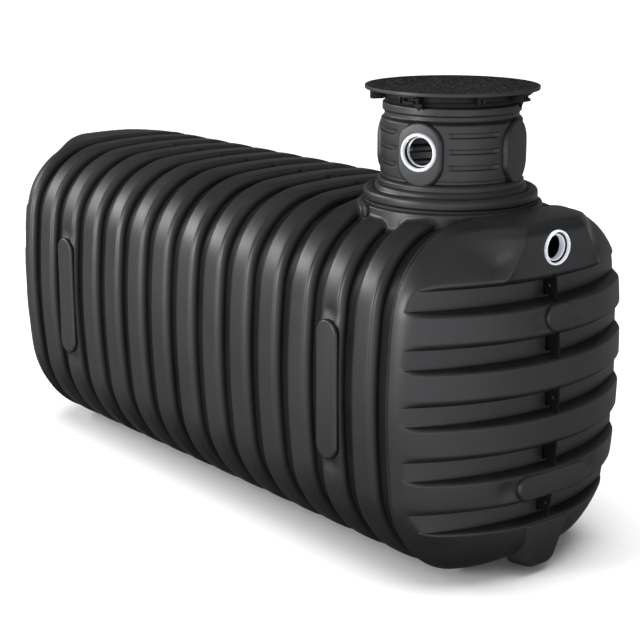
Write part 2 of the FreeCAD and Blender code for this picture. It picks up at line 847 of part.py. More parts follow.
def turret_shell():
    corners = [
        ("0", "@collar_height"),
        ("@turret_foot", "@collar_height"),
        ("@turret_foot", "@collar_height + @foot_height / 2", "@bead_round"),
        ("@turret_radius", "@collar_height + @foot_height", "@bead_round"),
    ]
    groove = "@turret_radius - @bead_groove_depth"
    for bead in range(int(d["bead_count"])):
        low = f"@bead_first + {bead} * @bead_pitch"
        high = f"{low} + @bead_groove"
        corners.append(("@turret_radius", low, "@bead_round / 2"))
        corners.append((groove, f"{low} + @bead_groove_depth", "@bead_round / 2"))
        corners.append((groove, f"{high} - @bead_groove_depth", "@bead_round / 2"))
        corners.append(("@turret_radius", high, "@bead_round / 2"))
    corners += [
        ("@turret_radius", "@turret_height - 2 * @neck_groove_height", "@bead_round"),
        ("@neck_groove_radius", "@turret_height - @neck_groove_height"),
        ("@neck_groove_radius", "@turret_height"),
        ("0", "@turret_height"),
    ]
    body = turned("turret_shell", corners)
    face = sketch_on(body, "turret_pad_face", "XZ_Plane")
    half = "@turret_pad_width / 2"
    arch = "@turret_pad_arch"
    pad_corners = [
        ("0", "@turret_pad_bottom", arch),
        (half, "@turret_pad_bottom + @turret_pad_width / 2", arch),
        (half, "@turret_pad_top", "@turret_pad_round"),
        (f"-{half}", "@turret_pad_top", "@turret_pad_round"),
        (f"-{half}", "@turret_pad_bottom + @turret_pad_width / 2", arch),
    ]
    outline(face, pad_corners)
    pad = body.newObject("PartDesign::Pad", "turret_pad")
    pad.Profile = face
    pad.setExpression("Length", cell("@turret_pad_reach"))
    pads = body.newObject("PartDesign::PolarPattern", "turret_pads")
    pads.Originals = [pad]
    pads.Axis = (face, ["V_Axis"])
    pads.Angle = 360
    pads.Occurrences = 4
    body.Tip = pads
    hollow_profile = sketch_on(body, "turret_hollow_profile", "XZ_Plane")
    inner = "@turret_radius - @turret_wall"
    hollow_corners = [
        ("0", "@collar_height"),
        (inner, "@collar_height"),
        (inner, "@turret_height - 3 * @neck_groove_height"),
        ("@manway_radius", "@turret_height - 2 * @neck_groove_height"),
        ("@manway_radius", "@turret_height"),
        ("0", "@turret_height"),
    ]
    outline(hollow_profile, hollow_corners)
    bore = body.newObject("PartDesign::Groove", "turret_hollow")
    bore.Profile = hollow_profile
    bore.ReferenceAxis = (hollow_profile, ["V_Axis"])
    bore.Angle = 360
    hole = sketch_on(body, "turret_seal_hole", "XZ_Plane")
    circle(hole, "0", "@turret_seal_height", "@turret_seal_bore / 2 + @seal_wall")
    pocket = body.newObject("PartDesign::Pocket", "turret_seal_pocket")
    pocket.Profile = hole
    pocket.Type = "Length"
    pocket.setExpression("Length", cell("@turret_pad_reach + @seal_lip"))
    pocket.Reversed = True
    part_ring(body, "turret_segments", "@turret_radius * 2")
    on_turret(body, turret_base)
    body.setExpression("Placement.Rotation.Angle", cell("@turret_pad_angle"))
    return body


turret = turret_shell()
rim = turned(
    "turret_rim",
    [
        ("@manway_radius", "0"),
        ("@rim_radius", "0", "@rim_height / 4"),
        ("@rim_radius", "@rim_height", "@rim_height / 4"),
        ("@manway_radius", "@rim_height"),
    ],
)
rim_base = f"{turret_base} + @turret_height"
on_turret(rim, rim_base)

# Pipe seals: a tail in the wall and a rounded flange on the flat pad


def pipe_seal(label, bore, flange_width):
    tail = f"{bore} / 2 + @seal_wall - @seal_gap"
    return turned(
        label,
        [
            (f"{bore} / 2", "-@seal_tail"),
            (tail, "-@seal_tail"),
            (tail, "0"),
            (f"{flange_width} / 2", "0"),
            (f"{flange_width} / 2", "@seal_lip", "@seal_lip / 2"),
            (f"{bore} / 2", "@seal_lip", "@seal_lip / 2"),
        ],
    )


front_seal = pipe_seal("front_pipe_seal", "@seal_bore", "@seal_flange")
front_seal.Placement = Placement(Vector(), Rotation(ACROSS, 90))
front_seal.setExpression("Placement.Base.x", cell(pipe_pad_x))
front_seal.setExpression("Placement.Base.z", cell(seal_height))
rear_seal = pipe_seal("rear_pipe_seal", "@seal_bore", "@seal_flange")
rear_seal.Placement = Placement(Vector(), Rotation(ACROSS, -90))
rear_seal.setExpression("Placement.Base.x", cell(f"-{pipe_pad_x}"))
rear_seal.setExpression("Placement.Base.z", cell(seal_height))
turret_seal = pipe_seal("turret_pipe_seal", "@turret_seal_bore", "@turret_seal_flange")
facing = Rotation(UP, d["turret_pad_angle"]).multVec(-ACROSS)
seal_place = Vector(measure(turret_x), 0, measure(turret_base) + d["turret_seal_height"])
turret_seal.Placement = Placement(
    seal_place + facing * d["turret_pad_reach"],
    Rotation(UP, d["turret_pad_angle"]).multiply(Rotation(ALONG, 90)),
)

# Lid: a frame that sits in the rim, a flat plate, brackets, lugs and latches under its edge
frame_base = f"{rim_base} + @rim_height"
frame = turned(
    "lid_frame",
    [
        ("@frame_bore", "-@spigot_length"),
        ("@manway_radius - @spigot_gap", "-@spigot_length"),
        ("@manway_radius - @spigot_gap", "0"),
        ("@frame_step", "0"),
        ("@frame_step", "@frame_step_height"),
        ("@frame_radius", "@frame_step_height"),
        ("@frame_radius", "@frame_step_height + @frame_height"),
        ("@frame_bore", "@frame_step_height + @frame_height"),
    ],
)
part_ring(frame, "ring_segments", "@frame_radius * 2")
on_turret(frame, frame_base)
lid_base = f"{frame_base} + @frame_step_height + @frame_height"
lid = turned(
    "lid_plate",
    [
        ("0", "0"),
        ("@lid_radius", "0", "@lid_round"),
        ("@lid_radius", "@lid_thickness", "@lid_round"),
        ("0", "@lid_thickness"),
    ],
)
on_turret(lid, lid_base)


def under_lid(label, angle, corners, width):
    # four like blocks under the lid's edge, drawn in side view and padded to their width
    body = new_body(label)
    side_view = sketch_on(body, label + "_side", "YZ_Plane")
    outline(side_view, corners)
    pad = body.newObject("PartDesign::Pad", label + "_block")
    pad.Profile = side_view
    pad.setExpression("Length", cell(width))
    pad.Midplane = True
    pattern = body.newObject("PartDesign::PolarPattern", label + "_pattern")
    pattern.Originals = [pad]
    pattern.Axis = (side_view, ["V_Axis"])
    pattern.Angle = 360
    pattern.Occurrences = 4
    body.Tip = pattern
    on_turret(body, lid_base)
    body.setExpression("Placement.Rotation.Angle", cell(angle))
    return body


bracket_corners = [
    ("@frame_radius + @bracket_gap", "-@bracket_height"),
    ("@bracket_reach", "-@bracket_height"),
    ("@bracket_reach", "0"),
    ("@frame_radius + @bracket_gap", "0"),
]
under_lid("lid_brackets", "@turret_pad_angle", bracket_corners, "@bracket_width")
under_lid("lid_lugs", "@turret_pad_angle + 45", bracket_corners, "@lug_width")
latch_corners = [
    ("@frame_radius + @bracket_gap", "-@bracket_height - @latch_height"),
    ("@frame_radius + @bracket_gap + @latch_thickness", "-@bracket_height - @latch_height"),
    ("@frame_radius + @bracket_gap + @latch_thickness", "-@bracket_height"),
    ("@frame_radius + @bracket_gap", "-@bracket_height"),
]
under_lid("lid_latches", "@turret_pad_angle", latch_corners, "@latch_width")

doc.recompute()

# Every piece is checked before any is written
kinds = ("PartDesign::Body", "Part::Feature", "Part::Cut")
pieces = [item for item in doc.RootObjects if item.TypeId in kinds]
for item in doc.Objects:
    if "Invalid" in item.State or "Error" in item.State:
        raise RuntimeError(f"{item.Label} failed: {item.State}")
for piece in pieces:
    if piece.Shape.isNull() or not piece.Shape.isValid():
        raise RuntimeError(f"{piece.Label} has no valid shape")
os.makedirs("parts", exist_ok=True)
for piece in pieces:
    piece.Shape.exportStep(f"parts/{piece.Label}.step")
    solids = len(piece.Shape.Solids)
    print(f"{piece.Label}: {solids} solids, {piece.Shape.Volume / 1e6:.2f} litres")
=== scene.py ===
import json
import math

import bpy
import numpy as np
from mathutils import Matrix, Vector


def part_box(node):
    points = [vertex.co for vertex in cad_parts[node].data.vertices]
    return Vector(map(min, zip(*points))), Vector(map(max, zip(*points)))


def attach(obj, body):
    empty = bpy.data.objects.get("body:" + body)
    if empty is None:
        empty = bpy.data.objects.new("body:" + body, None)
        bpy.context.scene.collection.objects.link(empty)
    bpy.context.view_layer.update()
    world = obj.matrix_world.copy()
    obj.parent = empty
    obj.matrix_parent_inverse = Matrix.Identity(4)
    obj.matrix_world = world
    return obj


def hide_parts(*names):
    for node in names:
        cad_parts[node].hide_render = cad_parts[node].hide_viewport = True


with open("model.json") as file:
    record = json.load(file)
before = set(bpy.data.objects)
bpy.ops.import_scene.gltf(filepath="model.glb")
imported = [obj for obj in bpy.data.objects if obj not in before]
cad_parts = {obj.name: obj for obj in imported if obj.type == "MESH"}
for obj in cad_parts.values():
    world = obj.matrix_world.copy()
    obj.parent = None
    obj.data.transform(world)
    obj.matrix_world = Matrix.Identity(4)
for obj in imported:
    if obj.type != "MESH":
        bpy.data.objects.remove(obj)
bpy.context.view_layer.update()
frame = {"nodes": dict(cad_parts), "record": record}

print("frame loaded:", len(frame["nodes"]), "nodes")

origin = (0.0, 0.0, 0.0)
facingX = (0.0, math.pi / 2, 0.0)  # turns that lay an upright cylinder along an axis
facingY = (math.pi / 2, 0.0, 0.0)
mergeWithin = 0.00002


# what a user does with the mouse, as short functions

def objectMode():
    if bpy.context.object and bpy.context.object.mode != "OBJECT":
        bpy.ops.object.mode_set(mode="OBJECT")


def activate(piece):
    objectMode()
    bpy.ops.object.select_all(action="DESELECT")
    piece.select_set(True)
    bpy.context.view_layer.objects.active = piece


def editMode(piece, pick="FACE"):
    activate(piece)
    bpy.ops.object.mode_set(mode="EDIT")
    bpy.ops.mesh.select_mode(type=pick)


def selectPoints(piece, test):  # test(place), left in edit mode
    editMode(piece, "VERT")
    bpy.ops.mesh.select_all(action="DESELECT")
    objectMode()
    for point in piece.data.vertices:
        point.select = bool(test(point.co))
    bpy.ops.object.mode_set(mode="EDIT")


def selectEdges(piece, test):  # test(one end, other end), left in edit mode
    editMode(piece, "EDGE")
    bpy.ops.mesh.select_all(action="DESELECT")
    objectMode()
    points = piece.data.vertices
    for edge in piece.data.edges:
        edge.select = bool(test(points[edge.vertices[0]].co, points[edge.vertices[1]].co))
    bpy.ops.object.mode_set(mode="EDIT")


def newPiece(name, points, faces=(), edges=()):
    mesh = bpy.data.meshes.new(name)
    mesh.from_pydata([tuple(p) for p in points], list(edges), list(faces))
    mesh.update()
    piece = bpy.data.objects.new(name, mesh)
    bpy.context.scene.collection.objects.link(piece)
    return piece


def gridFaces(rows, columns, closed=False):  # quads of a grid of points, row by row
    faces = []
    for r in range(rows - 1):
        for c in range(columns if closed else columns - 1):
            n = (c + 1) % columns
            faces.append((r * columns + c, r * columns + n, (r + 1) * columns + n, (r + 1) * columns + c))
    return faces


def applyModifiers(piece):
    activate(piece)
    for modifier in list(piece.modifiers):
        bpy.ops.object.modifier_apply(modifier=modifier.name)


def addBevel(piece, width, segments, angle=30):
    bevel = piece.modifiers.new("roundedEdges", "BEVEL")
    bevel.width = width
    bevel.segments = segments
    bevel.limit_method = "ANGLE"
    bevel.angle_limit = math.radians(angle)
    applyModifiers(piece)


def addThickness(piece, wall):  # inwards
    shell = piece.modifiers.new("wall", "SOLIDIFY")
    shell.thickness = wall
    shell.offset = -1.0
    applyModifiers(piece)


def cleanNormals(piece):
    editMode(piece)
    bpy.ops.mesh.select_all(action="SELECT")
    bpy.ops.mesh.remove_doubles(threshold=mergeWithin)
    bpy.ops.mesh.normals_make_consistent(inside=False)
    objectMode()


def cutWith(piece, tool):  # the tool is used up
    cut = piece.modifiers.new("cut", "BOOLEAN")
    cut.operation = "DIFFERENCE"
    cut.solver = "EXACT"
    cut.object = tool
    applyModifiers(piece)
    bpy.data.objects.remove(tool)


def roundTool(radius, length, place=origin, turn=origin, sides=96):
    bpy.ops.object.select_all(action="DESELECT")
    bpy.ops.mesh.primitive_cylinder_add(
        vertices=sides, radius=radius, depth=length, location=place, rotation=turn,
    )
    return bpy.context.object


def holeTool(radius, place, turn, deep=0.2):  # the hole that a pipe seal sits in
    return roundTool(radius, deep, place, turn)


def blockAt(low, high):  # a block between two corners
    bpy.ops.object.select_all(action="DESELECT")
    centre = [(a + b) / 2 for a, b in zip(low, high)]
    bpy.ops.mesh.primitive_cube_add(size=1.0, location=centre)
    block = bpy.context.object
    block.scale = [b - a for a, b in zip(low, high)]
    bpy.ops.object.transform_apply(location=True, rotation=True, scale=True)
    return block


def spun(name, profile, steps, loop=True):  # (radius, height) points turned about the upright axis
    count = len(profile)
    edges = [(n, (n + 1) % count) for n in range(count if loop else count - 1)]
    piece = newPiece(name, [(r, 0.0, z) for r, z in profile], edges=edges)
    editMode(piece, "VERT")
    bpy.ops.mesh.select_all(action="SELECT")
    bpy.ops.mesh.spin(steps=steps, angle=2 * math.pi, center=(0, 0, 0), axis=(0, 0, 1))
    cleanNormals(piece)
    return piece


def move(piece, place=origin, turn=origin):
    activate(piece)
    piece.location = place
    piece.rotation_euler = turn
    bpy.ops.object.transform_apply(location=True, rotation=True, scale=True)
    return piece


def copyOf(piece):
    activate(piece)
    bpy.ops.object.duplicate(linked=False)
    return bpy.context.object


def join(pieces):
    activate(pieces[0])
    for piece in pieces[1:]:
        piece.select_set(True)
    bpy.ops.object.join()
    return pieces[0]


def ringOf(piece, count):  # like pieces round the upright axis, joined
    pieces = [piece]
    for n in range(1, count):
        pieces.append(move(copyOf(piece), turn=(0.0, 0.0, 2 * math.pi * n / count)))
    return join(pieces)


def tongue(radius, deep, straight, turn, along, edge, segments=4):  # a disc pulled out along an axis
    pad = move(roundTool(radius, deep), turn=turn)
    for side in (-1.0, 1.0):
        selectPoints(pad, lambda place: place.dot(along) * side > 0.0)
        bpy.ops.transform.translate(value=along * (side * straight))
    objectMode()
    addBevel(pad, edge, segments)
    return pad


def placed(piece, name, material, nodes=(), smooth=35):
    activate(piece)
    bpy.ops.object.transform_apply(location=True, rotation=True, scale=True)
    bpy.ops.object.shade_smooth_by_angle(angle=math.radians(smooth))
    piece.name = name
    piece.data.name = name
    piece.data.materials.clear()
    piece.data.materials.append(material)
    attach(piece, "root")
    if nodes:
        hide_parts(*nodes)
    return piece


# shader nodes and groups

def newGroup(name, inputs, outputs):
    group = bpy.data.node_groups.new(name, "ShaderNodeTree")
    for label, value in inputs.items():
        socket = group.interface.new_socket(label, in_out="INPUT", socket_type="NodeSocketFloat")
        socket.default_value = value
    for label in outputs:
        group.interface.new_socket(label, in_out="OUTPUT", socket_type="NodeSocketFloat")
    start = group.nodes.new("NodeGroupInput")
    end = group.nodes.new("NodeGroupOutput")
    return group, start.outputs, end.inputs


def feed(tree, socket, value):  # a number is set, anything else is linked
    if isinstance(value, (int, float)):
        socket.default_value = value
    else:
        tree.links.new(value, socket)


def addMath(tree, operation, *values):
    node = tree.nodes.new("ShaderNodeMath")
    node.operation = operation
    for socket, value in zip(node.inputs, values):
        feed(tree, socket, value)
    return node.outputs[0]


def addNoise(tree, vector, scale, detail, roughness=0.55):
    noise = tree.nodes.new("ShaderNodeTexNoise")
    noise.inputs["Detail"].default_value = detail
    noise.inputs["Roughness"].default_value = roughness
    tree.links.new(vector, noise.inputs["Vector"])
    feed(tree, noise.inputs["Scale"], scale)
    return noise.outputs["Fac"]


def addRange(tree, value, low, high, toLow, toHigh):
    node = tree.nodes.new("ShaderNodeMapRange")
    node.interpolation_type = "SMOOTHSTEP"
    tree.links.new(value, node.inputs["Value"])
    for label, number in (("From Min", low), ("From Max", high), ("To Min", toLow), ("To Max", toHigh)):
        feed(tree, node.inputs[label], number)
    return node.outputs["Result"]


def addSplit(tree, vector):
    split = tree.nodes.new("ShaderNodeSeparateXYZ")
    tree.links.new(vector, split.inputs[0])
    return split.outputs


def objectPlace(tree):
    return tree.nodes.new("ShaderNodeTexCoord").outputs["Object"]


grainShape = {"cloudSize": 1.7, "grainShare": 0.04, "dotCore": 0.15, "dotEdge": 0.5}


def mouldGrainGroup():  # fine grain, slow waves of a cooled wall, and the stipple of a tread face
    group, start, end = newGroup(
        "mouldGrain",
        {"Grain Size": 900.0, "Wave Size": 3.0, "Wave Depth": 0.6, "Stipple Size": 150.0, "Stipple": 0.0},
        ["Height", "Cloud", "Pimple"],
    )
    place = objectPlace(group)
    grain = addNoise(group, place, start["Grain Size"], detail=2.0, roughness=0.6)
    wave = addNoise(group, place, start["Wave Size"], detail=1.0, roughness=0.4)
    cloud = addNoise(group, place, grainShape["cloudSize"], detail=4.0, roughness=0.6)
    dots = group.nodes.new("ShaderNodeTexVoronoi")
    group.links.new(place, dots.inputs["Vector"])
    group.links.new(start["Stipple Size"], dots.inputs["Scale"])
    dot = addRange(group, dots.outputs["Distance"], grainShape["dotCore"], grainShape["dotEdge"], 1.0, 0.0)
    pimple = addMath(group, "MULTIPLY", dot, start["Stipple"])
    deep = addMath(group, "MULTIPLY", wave, start["Wave Depth"])
    fine = addMath(group, "MULTIPLY", grain, grainShape["grainShare"])
    height = addMath(group, "ADD", fine, addMath(group, "ADD", deep, pimple))
    group.links.new(height, end["Height"])
    group.links.new(cloud, end["Cloud"])
    group.links.new(pimple, end["Pimple"])
    return group


dustShape = {
    "facingUp": 0.55, "patchSize": 6.0, "patchBand": (0.4, 0.75), "patchLeast": 0.15,
    "streakStretch": (30.0, 30.0, 1.5), "streakBand": (0.56, 0.8),
}


def dustGroup():  # pale dust where a face looks up, and rubbed streaks
    group, start, end = newGroup("settledDust", {"Amount": 0.3, "Streaks": 0.3}, ["Dust", "Rub"])
    place = objectPlace(group)
    normal = addSplit(group, group.nodes.new("ShaderNodeNewGeometry").outputs["Normal"])
    up = addRange(group, normal["Z"], dustShape["facingUp"], 1.0, 0.0, 1.0)
    spread = addNoise(group, place, dustShape["patchSize"], detail=6.0, roughness=0.65)
    patches = addRange(group, spread, *dustShape["patchBand"], dustShape["patchLeast"], 1.0)
    dust = addMath(group, "MULTIPLY", addMath(group, "MULTIPLY", up, patches), start["Amount"])
    stretch = group.nodes.new("ShaderNodeMapping")
    stretch.inputs["Scale"].default_value = dustShape["streakStretch"]
    group.links.new(place, stretch.inputs["Vector"])
    flow = addNoise(group, stretch.outputs[0], 1.0, detail=5.0, roughness=0.6)
    lines = addRange(group, flow, *dustShape["streakBand"], 0.0, 1.0)
    rub = addMath(group, "MULTIPLY", lines, start["Streaks"])
    group.links.new(dust, end["Dust"])
    group.links.new(rub, end["Rub"])
    return group


def paintedGrooveShadeGroup():  # painted shade: a duller reflection in the grooves that repeat along the tank
    group, start, end = newGroup("grooveGrime", {"Pitch": 0.2, "Start": 0.06, "End": 0.09}, ["Grime"])
    place = addSplit(group, objectPlace(group))
    count = addMath(group, "ROUND", addMath(group, "DIVIDE", place["X"], start["Pitch"]))
    crest = addMath(group, "MULTIPLY", count, start["Pitch"])
    away = addMath(group, "ABSOLUTE", addMath(group, "SUBTRACT", place["X"], crest))
    grooveShadeMask = addRange(group, away, start["Start"], start["End"], 0.0, 1.0)
    group.links.new(grooveShadeMask, end["Grime"])
    return group


mouldGrain = mouldGrainGroup()
settledDust = dustGroup()
grooveGrime = paintedGrooveShadeGroup()


def useGroup(tree, group, **values):
    node = tree.nodes.new("ShaderNodeGroup")
    node.node_tree = group
    for label, value in values.items():
        node.inputs[label.replace("_", " ")].default_value = value
    return node.outputs


def mixColour(tree, factor, first, second):
    mix = tree.nodes.new("ShaderNodeMix")
    mix.data_type = "RGBA"
    tree.links.new(factor, mix.inputs["Factor"])
    for socket, colour in ((mix.inputs[6], first), (mix.inputs[7], second)):
        if isinstance(colour, tuple):
            socket.default_value = (*colour, 1.0)
        else:
            tree.links.new(colour, socket)
    return mix.outputs[2]


cloudBand = (0.3, 0.7)
# dust and rubbing change the roughness; shadeDull dulls the grooves' reflection as painted shade
wearAndShade = {"dustRough": 0.3, "rubShine": 0.12, "shadeDull": 0.2}


def moulded(name, look):
    material = bpy.data.materials.new(name)
    material.use_nodes = True
    tree = material.node_tree
    shader = tree.nodes["Principled BSDF"]
    grain = useGroup(
        tree, mouldGrain,
        Grain_Size=look["grainSize"], Wave_Size=look["waveSize"], Wave_Depth=look["waveDepth"],
        Stipple_Size=look["stippleSize"], Stipple=look["stipple"],
    )
    dust = useGroup(tree, settledDust, Amount=look["dust"], Streaks=look["streaks"])
    cloud = addRange(tree, grain["Cloud"], *cloudBand, 0.0, 1.0)
    base = mixColour(tree, cloud, look["dark"], look["light"])
    dusty = mixColour(tree, dust["Dust"], base, look["dustAndGlintColour"])
    # pale dots on the stipple pimples, in the dust colour: painted glints
    stippleGlints = addMath(tree, "MULTIPLY", grain["Pimple"], look["stippleGlints"])
    tree.links.new(mixColour(tree, stippleGlints, dusty, look["dustAndGlintColour"]), shader.inputs["Base Color"])
    rough = addRange(tree, grain["Cloud"], *cloudBand, *look["rough"])
    rough = addMath(tree, "ADD", rough, addMath(tree, "MULTIPLY", dust["Dust"], wearAndShade["dustRough"]))
    rough = addMath(tree, "SUBTRACT", rough, addMath(tree, "MULTIPLY", dust["Rub"], wearAndShade["rubShine"]))
    tree.links.new(rough, shader.inputs["Roughness"])
    bump = tree.nodes.new("ShaderNodeBump")
    bump.inputs["Distance"].default_value = look["bumpDepth"]
    bump.inputs["Strength"].default_value = look["bump"]
    tree.links.new(grain["Height"], bump.inputs["Height"])
    tree.links.new(bump.outputs["Normal"], shader.inputs["Normal"])
    shine = look["specular"]
    shader.inputs["Specular IOR Level"].default_value = shine
    # the grooves' reflection is dulled towards the groove floor as painted shade
    if "grooveShadeMask" in look:
        pitch, start, end = look["grooveShadeMask"]
        grooveShadeMask = useGroup(tree, grooveGrime, Pitch=pitch, Start=start, End=end)
        dull = addRange(tree, grooveShadeMask["Grime"], 0.0, 1.0, shine, shine * wearAndShade["shadeDull"])
        tree.links.new(dull, shader.inputs["Specular IOR Level"])
    return material


barrelLook = {
    "dark": (0.0040, 0.0040, 0.0044), "light": (0.0070, 0.0070, 0.0076), "dustAndGlintColour": (0.05, 0.05, 0.05),
    "rough": (0.38, 0.48), "specular": 0.5, "dust": 0.12, "streaks": 0.3, "stippleGlints": 0.0,
    "grainSize": 700.0, "waveSize": 4.0, "waveDepth": 1.0, "stippleSize": 150.0, "stipple": 0.0,
    "bump": 0.25, "bumpDepth": 0.004,
}
turretLook = {**barrelLook, "waveSize": 6.0, "waveDepth": 0.5, "rough": (0.40, 0.50)}
# the lid's stipple gets pale dots as painted glints
lidLook = {
    **barrelLook, "dark": (0.0025, 0.0025, 0.0028), "light": (0.0040, 0.0040, 0.0044),
    "rough": (0.46, 0.58), "specular": 0.06, "dust": 0.03, "stippleGlints": 0.6,
    "waveDepth": 0.1, "stippleSize": 45.0, "stipple": 1.0, "bump": 0.5,
}
sealLook = {
    **barrelLook, "dark": (0.66, 0.69, 0.73), "light": (0.76, 0.79, 0.83), "dustAndGlintColour": (0.5, 0.5, 0.5),
    "rough": (0.30, 0.42), "dust": 0.2,
    "grainSize": 1500.0, "waveSize": 20.0, "waveDepth": 0.1, "bumpDepth": 0.001,
}
gasketLook = {
    **barrelLook, "dark": (0.004, 0.004, 0.004), "light": (0.007, 0.007, 0.007), "rough": (0.6, 0.7),
}
barrelPlastic = moulded("barrelPlastic", barrelLook)
turretPlastic = moulded("turretPlastic", turretLook)
lidPlastic = moulded("lidPlastic", lidLook)
sealRubber = moulded("sealRubber", sealLook)
# black rubber for the gasket, also used as painted shade in the pipe seals' gaps
gasketAndShadeRubber = moulded("gasketAndShadeRubber", gasketLook)
# for the webs: a duller, near-black copy of the barrel plastic, painted shade on their faces in the pockets
webShadePlastic = moulded("webShadePlastic", {**barrelLook, "specular": 0.06, "rough": (0.55, 0.65)})
# a darker, duller copy of the lid plastic for the lid's frame and fittings: painted shade under the lid
underLidShadePlastic = moulded("underLidShadePlastic", {**lidLook, "stipple": 0.0, "specular": 0.2})
print("materials made")

# nodes whose solid shape is right keep it and get their finish here
finishes = {"turret": turretPlastic, "lid": lidPlastic, "seal": sealRubber, "gasket": gasketAndShadeRubber}
for part in frame["record"]["subparts"]:
    node = frame["nodes"][part["node"]]
    node.data.materials.clear()
    finish = finishes.get(part["material_slot"], barrelPlastic)
    # the webs get the dulled plastic as painted shade
    node.data.materials.append(webShadePlastic if part["node"].endswith("webs") else finish)

# barrel section and ends as formulas, because their soft grooves can't be drawn by hand

tank = {
    "topRadius": 3.4, "sideRadius": 3.5, "topCorner": 0.44, "bottomCorner": 0.51, "widest": 0.873,
    "ribPitch": 0.229, "ribDepth": 0.040,
}
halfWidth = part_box("right_side")[1].y
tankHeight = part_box("barrel_roof")[1].z
middle = tankHeight / 2


def sectionArcs():  # lower corner, side, upper corner and top of the right half: centre, radius, join above
    top = Vector((0.0, tankHeight - tank["topRadius"]))
    side = Vector((halfWidth - tank["sideRadius"], tank["widest"]))
    axis = top - side
    span = axis.length
    axis.normalize()
    toSide = tank["sideRadius"] - tank["topCorner"]
    toTop = tank["topRadius"] - tank["topCorner"]
    along = (toSide**2 - toTop**2 + span**2) / (2 * span)
    off = math.sqrt(toSide**2 - along**2)
    upper = side + axis * along + Vector((-axis.y, axis.x)) * off
    reach = tank["sideRadius"] - tank["bottomCorner"]
    lowerY = side.x + math.sqrt(reach**2 - (tank["widest"] - tank["bottomCorner"]) ** 2)
    lower = Vector((lowerY, tank["bottomCorner"]))
    low = math.atan2(lower.y - side.y, lower.x - side.x)
    mid = math.atan2(upper.y - side.y, upper.x - side.x)
    high = math.atan2(upper.y - top.y, upper.x - top.x)
    return (
        (lower, tank["bottomCorner"], low), (side, tank["sideRadius"], mid),
        (upper, tank["topCorner"], high), (top, tank["topRadius"], math.pi / 2),
    )


section = sectionArcs()


def halfAt(z, inset):  # half width of the section at a height, below 0 outside it
    half = np.full_like(z, -1.0)
    floor = inset
    for centre, radius, angle in section:
        r = radius - inset
        ceiling = centre.y + r * math.sin(angle)
        here = (z >= floor) & (z <= ceiling)
        half = np.where(here, centre.x + np.sqrt(np.maximum(r * r - (z - centre.y) ** 2, 0.0)), half)
        floor = ceiling
    return half


def topAt(y, inset):
    corner, crown = section[2], section[3]
    y = np.abs(y)
    split = crown[0].x + (crown[1] - inset) * math.cos(corner[2])
    high = crown[0].y + np.sqrt(np.maximum((crown[1] - inset) ** 2 - y**2, 0.0))
    r = corner[1] - inset
    low = corner[0].y + np.sqrt(np.maximum(r * r - (y - corner[0].x) ** 2, 0.0))
    return np.where(y < split, high, low)


def bottomAt(y, inset):
    corner = section[0]
    r = corner[1] - inset
    beyond = np.maximum(np.abs(y) - corner[0].x, 0.0)
    return corner[0].y - np.sqrt(np.maximum(r * r - beyond**2, 0.0))


def softMin(first, second, blend):
    share = np.clip(0.5 + 0.5 * (second - first) / blend, 0.0, 1.0)
    return second + (first - second) * share - blend * share * (1 - share)


def softMax(first, second, blend):
    return -softMin(-first, -second, blend)


def step(value, low, high):
    t = np.clip((value - low) / (high - low), 0.0, 1.0)
    return t * t * (3 - 2 * t)


def between(value, low, high, soft):  # 1 inside a band and 0 outside it
    return step(value, low - soft, low + soft) * (1.0 - step(value, high - soft, high + soft))


def quarterSteps(count, first=0):  # angles up to a quarter turn
    return [n / count * math.pi / 2 for n in range(first, count + 1)]


def quarterRound(share):  # flat at 1, upright at 0
    return np.sqrt(1.0 - (1.0 - np.clip(share, 0.0, 1.0)) ** 2)


endSkin = {
    "drop": 0.003, "rise": 0.350, "planBulge": 1.12, "sideBulge": 4.0, "wall": 0.012,
    "lift": 0.030, "liftReach": 0.31, "rimKeep": 0.07,
    "bands": 5, "pitch": 0.253, "groove": 0.145, "firstTop": 1.439, "depth": 0.068, "reach": 0.688,
    "lipFall": 0.038, "ledgeRound": 0.020, "softEnd": 0.012,
    "pocketHalf": 0.014, "pocketDepth": 0.045, "pocketTop": 0.037, "pocketLow": 0.034, "pocketEdge": 0.002,
    "dents": ((0.118, 1.236, 0.010, 0.036), (0.268, 0.476, 0.012, 0.042)),
}
pipePad = {
    "back": 0.049, "low": 1.472, "top": 1.655, "topHalf": 0.162, "lowHalf": 0.289, "edge": 0.010,
    "foot": 0.030, "footSpread": 0.08, "spreadFrom": 0.03, "footSlope": 0.30,
    "roofStart": 1.600, "roofCurve": 14.0, "fadeOut": 0.56,
    "sideSteep": 1.2, "sideGentle": 0.42, "sideCurve": 2.6, "steepTo": -0.02, "gentleFrom": 0.22,
    "bead": 0.004, "beadWide": 0.009, "beadStart": (-0.02, 0.01), "beadStop": (-0.04, 0.01),
    "valleyDeep": 0.016, "valleyOut": 0.034, "valleyWide": 0.024, "valleyHeight": 1.502, "valleyTall": 0.040,
    "hole": 0.070,
}
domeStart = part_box("front_end")[0].x
domeTip = domeStart + endSkin["rise"]
padFace = domeTip - pipePad["back"]
sealLow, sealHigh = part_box("front_pipe_seal")
sealHeight = (sealLow.z + sealHigh.z) / 2
grooveTops = [endSkin["firstTop"] - n * endSkin["pitch"] for n in range(endSkin["bands"])]


def bulge(half, radius, reach):  # half size of the dome at a distance out: a corner arc, then a flat arc
    centre = endSkin["rise"] - radius
    corner = (radius**2 - centre**2 - half**2) / (2 * (radius - half))
    meet = -corner * centre / (radius - corner)
    rounded = half - corner + np.sqrt(np.maximum(corner**2 - reach**2, 0.0))
    flat = np.sqrt(np.maximum(radius**2 - (reach - centre) ** 2, 1e-10))
    return np.where(reach <= meet, rounded, flat)


